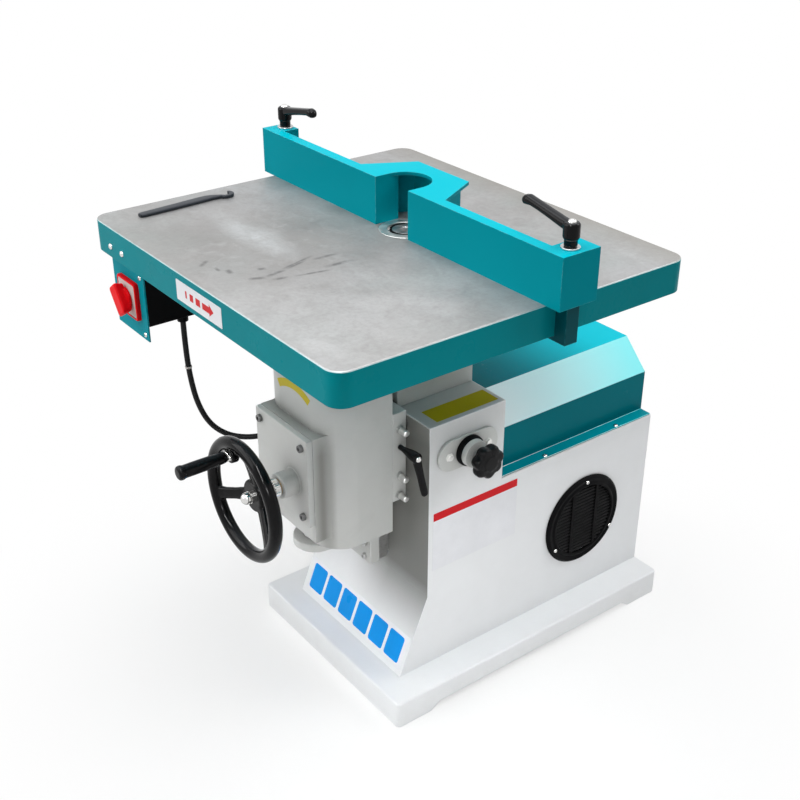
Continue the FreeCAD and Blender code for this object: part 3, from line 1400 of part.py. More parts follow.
def fence():
    bottom, top = "table_height", "fence_top"
    bars = [
        box(f"fence_bar_{side}", sorted_pair(sign, "throat_radius", "fence_width / 2"),
            ("fence_front", "fence_back"), (bottom, top))
        for side, sign in SIDES
    ]
    blocks = [
        box(f"fence_end_{side}", sorted_pair(sign, "fence_width / 2 - fence_end_width", "fence_width / 2"),
            ("fence_front", f"fence_front + fence_end_{side}"), (bottom, top))
        for side, sign in SIDES
    ]

    def trapezoid(name, inset, low, high):
        front, back = f"(bridge_front / 2 - {inset})", f"(bridge_back / 2 - {inset} * 0.7)"
        near, far = "fence_back - 1", f"fence_back + bridge_reach - {inset}"
        corners = ((f"-{front}", near), (front, near), (back, far), (f"-{back}", far))
        return prism(name, "XY", corners, low, f"({high}) - ({low})")

    plate_low = f"({top} - bridge_thick)"
    plate = trapezoid("fence_bridge_plate", "0", plate_low, top)
    walls = cut(
        "fence_bridge_walls",
        trapezoid("fence_bridge_block", "bridge_overhang", bottom, f"{plate_low} + 1"),
        trapezoid("fence_bridge_hollow", "(bridge_overhang + throat_wall)", f"{bottom} - 1", plate_low),
    )
    cheeks = [
        box(f"fence_cheek_{side}", sorted_pair(sign, "throat_radius", "throat_radius + throat_wall"),
            ("fence_front", "fence_front + throat_cheek"), (bottom, top))
        for side, sign in SIDES
    ]
    throat = rod("fence_throat", "throat_radius", "fence_rise + 20", "0", "spindle_place", f"{bottom} - 10")
    mouth = box("fence_mouth", ("-throat_radius", "throat_radius"), ("fence_front - 10", "spindle_place"),
                (f"{bottom} - 10", f"{top} + 10"))
    holes = [
        rod(f"fence_stud_hole_{side}", "stud_radius + seat_gap", "fence_rise + 20", f"{sign}clamp_post",
            "clamp_post_place", f"{bottom} - 10")
        for side, sign in SIDES
    ]
    welded = fuse("fence_weldment", *bars, *blocks, plate, walls, *cheeks)
    part("fence", cut("fence_finished", welded, throat, mouth, *holes))
    washers = [
        cut(
            f"washer_{side}",
            rod(f"washer_{side}_disc", "washer_radius", "washer_thick", f"{sign}clamp_post",
                "clamp_post_place", top),
            rod(f"washer_{side}_hole", "stud_radius + seat_gap", "3 * washer_thick", f"{sign}clamp_post",
                "clamp_post_place", f"{top} - washer_thick"),
        )
        for side, sign in SIDES
    ]
    part("fence_washers", group("washer_pair", *washers))
    for side, sign in SIDES:
        fence_clamp(side, sign)


def fence_clamp(side, sign):
    """A lever with its stud on the fence's end, and the jaw that it pulls up under the table."""
    x, y = f"{sign}clamp_post", "clamp_post_place"
    seat = "(fence_top + washer_thick + seat_gap)"
    jaw_under = "(rim_bottom - seat_gap - jaw_toe_thick)"
    stud_low = f"({jaw_under} + stud_end)"
    stud = rod(f"lever_{side}_stud", "stud_radius", f"{seat} - {stud_low} + 1", x, y, stud_low)
    hub = turned(
        f"lever_{side}_hub",
        (
            ("0", "0"),
            ("lever_foot_radius", "0"),
            ("lever_foot_radius", "lever_height * 0.25"),
            ("lever_hub_radius", "lever_height * 0.4"),
            ("lever_hub_radius", "lever_height * 0.93"),
            ("lever_hub_radius * 0.8", "lever_height"),
            ("0", "lever_height"),
        ),
        x, y, seat,
    )
    inward = "" if sign else "-"
    tip_top = "(lever_height + lever_rise)"
    tip_under = f"({tip_top} - lever_tip_thick)"
    arm = prism(
        f"lever_{side}_arm",
        "XZ",
        (
            ("0", "lever_height - lever_arm_thick"),
            (f"{inward}lever_arm * 0.8", tip_under),
            (f"{inward}lever_arm * 0.86", f"{tip_under} - lever_hook"),
            (f"{inward}lever_arm * 0.97", f"{tip_under} - lever_hook * 0.4"),
            (f"{inward}lever_arm", f"{tip_under} + lever_tip_thick * 0.4"),
            (f"{inward}lever_arm * 0.93", tip_top),
            ("0", "lever_height"),
        ),
        "-lever_arm_width / 2",
        "lever_arm_width",
    )
    place(arm, x, y, seat)
    part(f"fence_lever_{side}", fuse(f"lever_{side}_casting", stud, hub, arm))

    edge = "(table_width / 2 + seat_gap)"
    leg = box(f"jaw_{side}_leg", sorted_pair(sign, edge, f"{edge} + jaw_thick"),
              ("clamp_post_place - jaw_width / 2", "clamp_post_place + jaw_width / 2"),
              (jaw_under, "table_height - seat_gap"))
    toe = box(f"jaw_{side}_toe", sorted_pair(sign, f"{edge} - jaw_toe", f"{edge} + 1"),
              ("clamp_post_place - jaw_width / 2", "clamp_post_place + jaw_width / 2"),
              (jaw_under, f"{jaw_under} + jaw_toe_thick"))
    thread = rod(f"jaw_{side}_thread", "stud_radius + running_gap", "table_height", x, y,
                 f"{stud_low} - seat_gap")
    part(f"fence_jaw_{side}", cut(f"jaw_{side}_forging", fuse(f"jaw_{side}_blank", leg, toe), thread))


def hook_spanner():
    low = "table_height"
    handle_end = "(spanner_front + spanner_handle)"
    hook_x, hook_y = "(spanner_left - 4)", f"({handle_end} + hook_radius + 20)"
    front, back = "(spanner_left + spanner_slant)", "(spanner_left - spanner_slant)"
    neck_x = f"({hook_x} + hook_radius * 0.45)"
    neck_y = f"({hook_y} - hook_radius * 0.7)"
    handle = prism(
        "spanner_handle_bar",
        "XY",
        (
            (f"{front} - spanner_width * 0.25", "spanner_front"),
            (f"{front} + spanner_width * 0.25", "spanner_front"),
            (f"{front} + spanner_width * 0.42", "spanner_front + spanner_width / 2"),
            (f"{back} + spanner_width / 2", handle_end),
            (f"{neck_x} + spanner_neck / 2", neck_y),
            (f"{neck_x} - spanner_neck / 2", neck_y),
            (f"{back} - spanner_width * 0.4", f"{handle_end} + spanner_width * 0.8"),
            (f"{back} - spanner_width / 2", handle_end),
            (f"{front} - spanner_width * 0.42", "spanner_front + spanner_width / 2"),
        ),
        low,
        "spanner_thick",
    )
    ring = rod("spanner_ring", "hook_radius", "spanner_thick", hook_x, hook_y, low)
    ring_hole = rod("spanner_ring_hole", "hook_radius - hook_wall", "3 * spanner_thick", hook_x, hook_y,
                    f"{low} - spanner_thick")
    open_side = box(
        "spanner_open_side",
        (f"{hook_x} - 2 * hook_radius", f"{hook_x} + 1"),
        (f"{hook_y} - 2 * hook_radius", f"{hook_y} + hook_wall / 2"),
        (f"{low} - 1", f"{low} + spanner_thick + 1"),
    )
    hook = cut("spanner_hook", ring, ring_hole, open_side)
    part("hook_spanner", fuse("spanner_forging", handle, hook))


def build():
    base()
    column()
    hood()
    vent_grille()
    motor()
    drive_belt()
    spindle()
    spindle_lock()
    slide_and_lift()
    table()
    headstock()
    gear_cover()
    gibs_and_clamp()
    handwheel()
    lift_nut()
    switch()
    switch_cord()
    fence()
    hook_spanner()
    doc.recompute()


def export():
    failed = [o.Name for o in doc.Objects if {"Invalid", "Error"} & set(o.State)]
    failed += [p.Label for p in PARTS if p.Shape.isNull() or not p.Shape.isValid()]
    if failed:
        raise RuntimeError(f"not built: {failed}")
    os.makedirs("parts", exist_ok=True)
    for piece in PARTS:
        piece.Shape.exportStep(f"parts/{piece.Label}.step")
    print(len(PARTS), "sub-parts")


build()
export()
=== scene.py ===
import json
import math

import bmesh
import bpy
from bpy.props import FloatProperty, FloatVectorProperty, IntProperty, PointerProperty
from mathutils import Matrix, Vector


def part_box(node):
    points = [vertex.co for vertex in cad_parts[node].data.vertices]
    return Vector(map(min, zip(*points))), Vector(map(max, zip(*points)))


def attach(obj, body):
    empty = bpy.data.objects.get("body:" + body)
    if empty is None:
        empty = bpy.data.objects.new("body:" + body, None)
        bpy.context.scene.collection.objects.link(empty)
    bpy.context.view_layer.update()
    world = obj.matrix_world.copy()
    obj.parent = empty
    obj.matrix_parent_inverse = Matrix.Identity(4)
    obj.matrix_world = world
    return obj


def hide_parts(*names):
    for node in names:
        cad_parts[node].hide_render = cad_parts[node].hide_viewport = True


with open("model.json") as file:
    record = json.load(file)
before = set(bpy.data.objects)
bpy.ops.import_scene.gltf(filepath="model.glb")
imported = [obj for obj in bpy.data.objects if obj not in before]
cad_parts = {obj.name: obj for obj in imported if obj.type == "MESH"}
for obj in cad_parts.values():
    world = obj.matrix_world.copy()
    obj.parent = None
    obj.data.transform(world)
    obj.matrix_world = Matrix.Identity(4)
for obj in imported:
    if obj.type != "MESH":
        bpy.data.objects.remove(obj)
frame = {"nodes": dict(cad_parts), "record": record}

bl_info = {
    "name": "Spindle moulder",
    "version": (1, 0, 0),
    "blender": (4, 5, 0),
    "location": "View3D > Sidebar > Moulder",
    "description": "Dresses the packed spindle moulder with its finishes, controls, fasteners and plates",
    "category": "Object",
}

X, Y, Z = Vector((1, 0, 0)), Vector((0, 1, 0)), Vector((0, 0, 1))
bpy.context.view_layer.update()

# The switch cord's route, from the gland under the switch to the gland on the headstock
CORD_ROUTE = (
    (-0.250, -0.330, 0.690), (-0.250, -0.330, 0.634), (-0.248, -0.327, 0.574), (-0.244, -0.319, 0.518),
    (-0.234, -0.303, 0.474), (-0.217, -0.279, 0.450), (-0.196, -0.251, 0.443), (-0.176, -0.225, 0.447),
    (-0.155, -0.206, 0.455), (-0.136, -0.200, 0.459), (-0.121, -0.200, 0.459),
)

# Rounding of each casting's and plate's edges, in metres
EDGE_ROUNDING = {
    "base": 0.004, "column": 0.005, "spindle_housing": 0.004, "slide_way": 0.001, "hood": 0.0015,
    "lift_bracket": 0.003, "lock_flange": 0.0015, "table": 0.0028, "table_insert": 0.0006, "headstock": 0.004,
    "gear_cover": 0.0025, "slide_gibs": 0.002, "switch_bracket": 0.0006, "switch_box": 0.002, "fence": 0.0016,
    "fence_washers": 0.0006, "fence_jaw_left": 0.002, "fence_jaw_right": 0.002,
    "nose_nut": 0.0007, "spindle_shaft": 0.0008, "motor": 0.002, "motor_plate": 0.001,
    "handle_pin": 0.0008, "lift_screw": 0.0008, "shaft_bush": 0.0006,
}


LEVER_LENGTH = 0.104


def colour_of(name, description, default):
    return FloatVectorProperty(
        name=name, description=description, subtype="COLOR", size=3, min=0, max=1, default=default)


def number(name, description, default, **kind):
    return FloatProperty(name=name, description=description, default=default, **kind)


class PaintColours(bpy.types.PropertyGroup):
    """Colours of the painted and moulded surfaces."""

    teal: colour_of("Teal", "Enamel of the fence, hood and table rim", (0.0004, 0.266, 0.326))
    white: colour_of("White", "Enamel of the base and column", (0.86, 0.875, 0.89))
    grey: colour_of("Grey", "Enamel of the headstock and its covers", (0.60, 0.608, 0.59))
    black: colour_of("Black", "Enamel of the handwheel and levers", (0.0045, 0.0045, 0.005))
    red: colour_of("Red", "Moulding of the switch knob", (0.86, 0.003, 0.008))
    yellow: colour_of("Yellow", "Plain strip and sticker", (0.62, 0.50, 0.012))
    blue: colour_of("Blue", "Blocks on the toe plate", (0.0, 0.29, 0.80))


class ControlSizes(bpy.types.PropertyGroup):
    """Sizes of the controls that the scene finishes."""

    rim_radius: number("Rim radius", "Middle of the handwheel's rim", 0.1015, unit="LENGTH")
    rim_tube: number("Rim tube", "Half the thickness of the handwheel's rim", 0.0119, unit="LENGTH")
    lever_reach: number("Lever reach", "Length of a fence lever from its stud", LEVER_LENGTH, unit="LENGTH")
    vent_slats: IntProperty(
        name="Vent slats", description="Slats across the round vent", min=6, max=40, default=19)
    knob_lobes: IntProperty(
        name="Knob lobes", description="Lobes round the spindle lock's knob", min=3, max=12, default=7)
    cord_radius: number("Cord radius", "Half the thickness of the switch cord", 0.00525, unit="LENGTH")


class StageLight(bpy.types.PropertyGroup):
    """Light and camera of the stage."""

    key: number("Key", "Power of the large lamp at the front left", 88.0, unit="POWER")
    top: number("Top", "Power of the lamp overhead", 74.0, unit="POWER")
    rear: number("Rear", "Power of the lamp behind the hood", 36.0, unit="POWER")
    low: number("Low", "Power of the narrow lamp on the base", 0.95, unit="POWER")
    strip: number("Strip", "Power of the strip that glints in enamel", 46.0, unit="POWER")
    sky: number("Sky", "Strength of the room's even light", 0.11, min=0)
    lens: number("Lens", "Focal length of the camera", 54.0, subtype="DISTANCE_CAMERA")


class MoulderSettings(bpy.types.PropertyGroup):
    """Everything a user would change on the dressed machine."""

    paint: PointerProperty(type=PaintColours, name="Paint", description="Colours of the surfaces")
    controls: PointerProperty(type=ControlSizes, name="Controls", description="Sizes of the controls")
    light: PointerProperty(type=StageLight, name="Light", description="Stage light and camera")


def settings():
    return bpy.context.scene.spindle_moulder


class Finish:
    """A material under construction. Its patterns read the object's own coordinates."""

    def __init__(self, name, roughness=0.4, **constants):
        self.material = bpy.data.materials.new(name)
        self.material.use_nodes = True
        self.tree = self.material.node_tree
        self.shader = self.tree.nodes["Principled BSDF"]
        self.shader.inputs["Roughness"].default_value = roughness
        for socket, value in constants.items():
            self.shader.inputs[socket.replace("_", " ")].default_value = value
        self.place = self.add("ShaderNodeTexCoord").outputs["Object"]

    def feed(self, socket, value):
        """Links a socket to another one, or gives it a value."""
        if isinstance(value, bpy.types.NodeSocket):
            self.tree.links.new(value, socket)
        else:
            socket.default_value = value

    def add(self, kind, values=None, **settings_of_node):
        node = self.tree.nodes.new(kind)
        for name, value in settings_of_node.items():
            setattr(node, name, value)
        for name, value in (values or {}).items():
            self.feed(node.inputs[name], value)
        return node

    def noise(self, scale, detail=4.0, roughness=0.55, stretch=None, turn=0.0, distortion=0.0):
        place = self.place
        if stretch:
            mapping = self.add("ShaderNodeMapping", {
                "Vector": place, "Scale": stretch, "Rotation": (0, 0, turn)})
            place = mapping.outputs["Vector"]
        node = self.add("ShaderNodeTexNoise", {
            "Vector": place, "Scale": scale, "Detail": detail, "Roughness": roughness,
            "Distortion": distortion})
        return node.outputs["Fac"]

    def math(self, operation, a, b=0.0):
        node = self.add("ShaderNodeMath", operation=operation)
        for socket, value in zip(node.inputs, (a, b)):
            self.feed(socket, value)
        return node.outputs["Value"]

    def times(self, a, b):
        return self.math("MULTIPLY", a, b)

    def span(self, value, low, high, to_low=0.0, to_high=1.0):
        """value taken from low..high to to_low..to_high, held at both ends."""
        node = self.add("ShaderNodeMapRange", {
            "Value": value, "From Min": low, "From Max": high, "To Min": to_low, "To Max": to_high})
        return node.outputs["Result"]

    def mix(self, factor, a, b):
        node = self.add("ShaderNodeMix", data_type="RGBA")
        sockets = {socket.identifier: socket for socket in node.inputs}
        self.feed(sockets["Factor_Float"], factor)
        for identifier, value in (("A_Color", a), ("B_Color", b)):
            linked = isinstance(value, bpy.types.NodeSocket)
            self.feed(sockets[identifier], value if linked else (*value[:3], 1.0))
        return next(s for s in node.outputs if s.identifier == "Result_Color")

    def patchy(self, noise, low, high, to_low=0.0, to_high=1.0):
        """Noise of (scale, detail, roughness) taken from low..high to to_low..to_high."""
        return self.span(self.noise(*noise), low, high, to_low, to_high)

    def clouded(self, colour, noise, low, high, dark, light):
        """A colour that drifts between a darker and a lighter shade."""
        return self.mix(self.patchy(noise, low, high), shade(colour, dark), shade(colour, light))

    def edges(self, radius=0.002):
        """1 on outer and inner edges, 0 on flats."""
        rounded = self.add("ShaderNodeBevel", {"Radius": radius}, samples=4).outputs["Normal"]
        flat = self.add("ShaderNodeNewGeometry").outputs["Normal"]
        dot = self.add("ShaderNodeVectorMath", operation="DOT_PRODUCT")
        for socket, value in zip(dot.inputs, (rounded, flat)):
            self.feed(socket, value)
        return self.span(dot.outputs["Value"], 0.995, 0.86)

    def worn(self, noise, low, high, amount, radius=0.002):
        """Edges rubbed in patches."""
        return self.times(self.edges(radius), self.patchy(noise, low, high, 0.0, amount))

    def recess(self, distance, start=0.85, end=0.35, alone=False):
        """1 deep in corners and slots, 0 in the open; alone leaves the neighbouring pieces out."""
        around = self.add("ShaderNodeAmbientOcclusion", {"Distance": distance}, samples=6, only_local=alone)
        return self.span(around.outputs["AO"], start, end)

    def facing(self, axis):
        """How far a face looks along an axis, from -1 to 1."""
        normal = self.add("ShaderNodeNewGeometry").outputs["Normal"]
        return self.add("ShaderNodeSeparateXYZ", {"Vector": normal}).outputs[axis]

    def coordinate(self, axis):
        return self.add("ShaderNodeSeparateXYZ", {"Vector": self.place}).outputs[axis]

    def bump(self, height, distance, strength=1.0, under=None):
        node = self.add("ShaderNodeBump", {"Height": height, "Distance": distance, "Strength": strength})
        if under is not None:
            self.tree.links.new(under, node.inputs["Normal"])
        return node.outputs["Normal"]

    def set(self, socket, value):
        self.tree.links.new(value, self.shader.inputs[socket])

    def colour(self, value):
        self.set("Base Color", value)

    def rough(self, noise, low, high, to_low, to_high):
        self.set("Roughness", self.patchy(noise, low, high, to_low, to_high))

    def relief(self, *layers):
        """Bumps of (noise, distance, strength), each over the one before."""
        normal = None
        for noise, distance, strength in layers:
            normal = self.bump(self.noise(*noise), distance, strength, normal)
        self.set("Normal", normal)


def shade(colour, factor):
    return tuple(min(1.0, channel * factor) for channel in colour[:3])


ORANGE_PEEL, ENAMEL_DUST = 0.00006, 0.008
DUST_TONE = (0.5, 0.55, 0.54)


def enamel(name, colour, gloss, shine=0.015, chips=0.25, primer=(0.55, 0.56, 0.56), slope_sheen=None, lit=None):
    """Sprayed enamel with painted light on its upper faces, a faint orange peel, dust and rubbed edges.
    The last two arguments give a hood's slope two tones of painted sheen, and its lid a painted light that
    turns to painted shade towards its front end."""
    paint = Finish(name, gloss, Specular_IOR_Level=shine)
    cloud = paint.noise(2.6, 6.0)
    tone = paint.mix(paint.span(cloud, 0.30, 0.72), shade(colour, 0.93), shade(colour, 1.06))
    # Painted light: faces that look up are drawn paler, as if lit from above.
    upward = paint.span(paint.facing("Z"), 0.35, 0.95)
    tone = paint.mix(upward, tone, shade(colour, 1.7))
    if slope_sheen:
        # Painted light and shade on the hood's lid: a painted shadow at its front end under the table, painted
        # light further back.
        lid = paint.times(upward, paint.span(paint.coordinate("Z"), 0.46, 0.52))
        back = paint.span(paint.coordinate("Y"), 0.10, 0.40)
        tone = paint.mix(lid, tone, paint.mix(back, shade(colour, 0.9), lit))
        # Painted sheen on the hood's sloping faces, palest at their front end.
        slope = paint.times(paint.span(upward, 0.0, 0.3), paint.span(paint.facing("Z"), 0.97, 0.88))
        along = paint.span(paint.coordinate("Y"), 0.10, 0.46)
        tone = paint.mix(slope, tone, paint.mix(along, slope_sheen[0], slope_sheen[1]))
    grain = paint.noise(38.0, 8.0, 0.7)
    dusty = paint.times(paint.span(grain, 0.55, 0.85, 0.0, ENAMEL_DUST), paint.span(upward, 0.0, 1.0, 0.4, 1.0))
    tone = paint.mix(dusty, tone, DUST_TONE)
    rubbed = paint.worn((70.0, 5.0), 0.38, 0.66, chips)
    paint.colour(paint.mix(rubbed, tone, primer))
    paint.rough((9.0, 7.0, 0.65), 0.25, 0.8, gloss - 0.05, gloss + 0.10)
    paint.relief(((55.0, 2.0), ORANGE_PEEL * 3.0, 0.5), ((420.0, 2.0), ORANGE_PEEL, 0.6))
    return paint.material


def white_enamel(name, colour):
    """White enamel that greys a little towards the floor, with painted shade under the table, in the column's
    front recess and in corners, darker top faces, soil, rubbed edges and a painted highlight along the column's
    top edges.
    """
    paint = Finish(name, 0.32, Specular_IOR_Level=0.3)
    tone = paint.clouded(colour, (1.6, 4.0), 0.25, 0.75, 0.975, 1.02)
    height = paint.coordinate("Z")
    blotch = paint.patchy((20.0, 8.0, 0.7), 0.25, 0.8)
    # Darker towards the floor, in blotches.
    low = paint.times(paint.span(height, 0.0, 0.05, 0.22, 0.06), blotch)
    tone = paint.mix(low, tone, (0.36, 0.34, 0.31))
    # Painted shade under the table: the column greys with height, in blotches.
    high = paint.times(paint.span(height, 0.36, 0.55, 0.0, 0.46), paint.span(blotch, 0.0, 1.0, 0.75, 1.0))
    tone = paint.mix(high, tone, (0.47, 0.47, 0.45))
    # Much darker on the column's upward faces at its top.
    shelf = paint.times(paint.span(paint.facing("Z"), 0.6, 0.9), paint.span(height, 0.50, 0.56, 0.0, 0.62))
    tone = paint.mix(shelf, tone, (0.27, 0.27, 0.25))
    # Painted shade in the recess of the column's front beside the headstock, strongest to its right.
    front = paint.times(paint.span(paint.facing("Y"), -0.6, -0.9), paint.span(height, 0.12, 0.24, 0.0, 0.94))
    front = paint.times(front, paint.span(paint.coordinate("X"), -0.06, 0.05, 0.30, 1.0))
    tone = paint.mix(front, tone, (0.12, 0.118, 0.105))
    # Painted shade in corners and under neighbouring parts, weaker near the floor.
    recess_shade = paint.times(paint.recess(0.16, 0.92, 0.40), paint.span(height, 0.10, 0.26, 0.08, 0.45))
    tone = paint.mix(recess_shade, tone, (0.26, 0.26, 0.24))
    smear = paint.noise(5.0, 5.0, 0.5, (1.0, 1.0, 0.25))
    tone = paint.mix(paint.span(smear, 0.45, 0.90, 0.0, 0.10), tone, shade(colour, 0.72))
    rubbed = paint.worn((60.0, 6.0), 0.42, 0.72, 0.30)
    tone = paint.mix(rubbed, tone, (0.46, 0.46, 0.44))
    # Painted highlight along the edges at the top of the column.
    bright = paint.times(paint.edges(0.005), paint.span(height, 0.53, 0.565, 0.0, 0.85))
    paint.colour(paint.mix(bright, tone, (0.92, 0.92, 0.92)))
    paint.rough((8.0, 6.0, 0.6), 0.25, 0.8, 0.27, 0.44)
    paint.relief(((26.0, 2.0), 0.00025, 0.45), ((380.0, 2.0), 0.00005, 0.5))
    return paint.material


def valley(paint, corner, reach):
    """1 in the two upright valleys beside the headstock's front pad: a mask for painted shade."""
    across = paint.math("SUBTRACT", paint.math("ABSOLUTE", paint.coordinate("X")), corner[0])
    deep = paint.math("SUBTRACT", paint.coordinate("Y"), corner[1])
    away = paint.math("ADD", paint.times(across, across), paint.times(deep, deep))
    valley_shade = paint.span(paint.math("SQRT", away), 0.0, reach, 0.82, 0.0)
    return paint.times(valley_shade, paint.span(paint.coordinate("Z"), 0.54, 0.60, 1.0, 0.0))


def cast_enamel(name, colour):
    """Thick enamel over filled castings: wavy and a little stained, with painted shade in corners, recesses and
    the valleys beside the front pad, pale edges that are partly painted highlight, and darker rubbed edges.
    """
    paint = Finish(name, 0.36, Specular_IOR_Level=0.35)
    tone = paint.clouded(colour, (4.0, 5.0), 0.28, 0.75, 0.94, 1.05)
    stain = paint.span(paint.noise(11.0, 8.0, 0.65, distortion=0.5), 0.50, 0.88, 0.0, 0.26)
    tone = paint.mix(stain, tone, shade(colour, 0.60))
    # Painted shade: the casting's corners and recesses darker, and a deeper painted shade in the tightest ones.
    tone = paint.mix(paint.times(paint.recess(0.08, 0.92, 0.42, True), 0.75), tone, (0.12, 0.115, 0.10))
    tone = paint.mix(paint.times(paint.recess(0.03, 0.70, 0.15), 0.85), tone, (0.05, 0.048, 0.04))
    # Painted shade in the valleys beside the headstock's front pad.
    corner = (0.086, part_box("headstock")[0][1] + 0.017)
    tone = paint.mix(valley(paint, corner, 0.024), tone, (0.12, 0.115, 0.095))
    # Pale edges in patches, partly wear and partly painted highlight.
    edge = paint.edges(0.003)
    pale = paint.times(edge, paint.patchy((34.0, 6.0), 0.35, 0.6, 0.45, 0.0))
    tone = paint.mix(pale, tone, (0.78, 0.79, 0.78))
    rubbed = paint.times(edge, paint.patchy((55.0, 6.0), 0.50, 0.70, 0.0, 0.35))
    paint.colour(paint.mix(rubbed, tone, (0.24, 0.235, 0.22)))
    paint.rough((12.0, 7.0, 0.65), 0.25, 0.8, 0.28, 0.5)
    paint.relief(((22.0, 3.0), 0.0008, 0.5), ((300.0, 3.0), 0.00010, 0.6))
    return paint.material


# Ends of the dark scores on the table's face, where work has been dragged across
SCORES = (
    ((0.031, -0.291), (0.008, -0.213)), ((0.024, -0.227), (0.025, -0.172)),
    ((0.061, -0.229), (0.064, -0.169)), ((0.064, -0.287), (0.077, -0.221)),
    ((0.040, -0.325), (0.033, -0.280)), ((0.030, -0.350), (0.043, -0.323)),
    ((0.032, -0.281), (0.019, -0.233)), ((0.056, -0.321), (0.061, -0.292)),
    ((-0.024, -0.356), (-0.002, -0.359)), ((-0.042, -0.367), (-0.022, -0.369)),
    ((-0.056, -0.386), (-0.076, -0.361)), ((0.005, -0.318), (0.012, -0.303)),
)


def score(metal, start, end, half):
    """1 along a line on the table's face, fading at its sides and ends."""
    start, end = Vector((*start, 0)), Vector((*end, 0))
    angle = math.atan2(end.y - start.y, end.x - start.x)
    line = metal.add("ShaderNodeMapping", {
        "Vector": metal.place, "Location": (start + end) / 2, "Rotation": (0, 0, angle)}, vector_type="TEXTURE")
    parts = metal.add("ShaderNodeSeparateXYZ", {"Vector": line.outputs["Vector"]})
    reach = (end - start).length / 2
    along = metal.span(metal.math("ABSOLUTE", parts.outputs["X"]), reach * 0.4, reach, 1.0, 0.0)
    across = metal.span(metal.math("ABSOLUTE", parts.outputs["Y"]), half * 0.2, half, 1.0, 0.0)
    return metal.times(along, across)


def patch(metal, centre, wide, deep):
    """1 at a place on the table's face, falling away over an oval."""
    oval = metal.add("ShaderNodeMapping", {
        "Vector": metal.place, "Location": (*centre, 0.87), "Scale": (wide, deep, 1.0)}, vector_type="TEXTURE")
    away = metal.add("ShaderNodeVectorMath", {"Vector": oval.outputs["Vector"]}, operation="LENGTH")
    return metal.span(away.outputs["Value"], 0.1, 1.0, 1.0, 0.0)


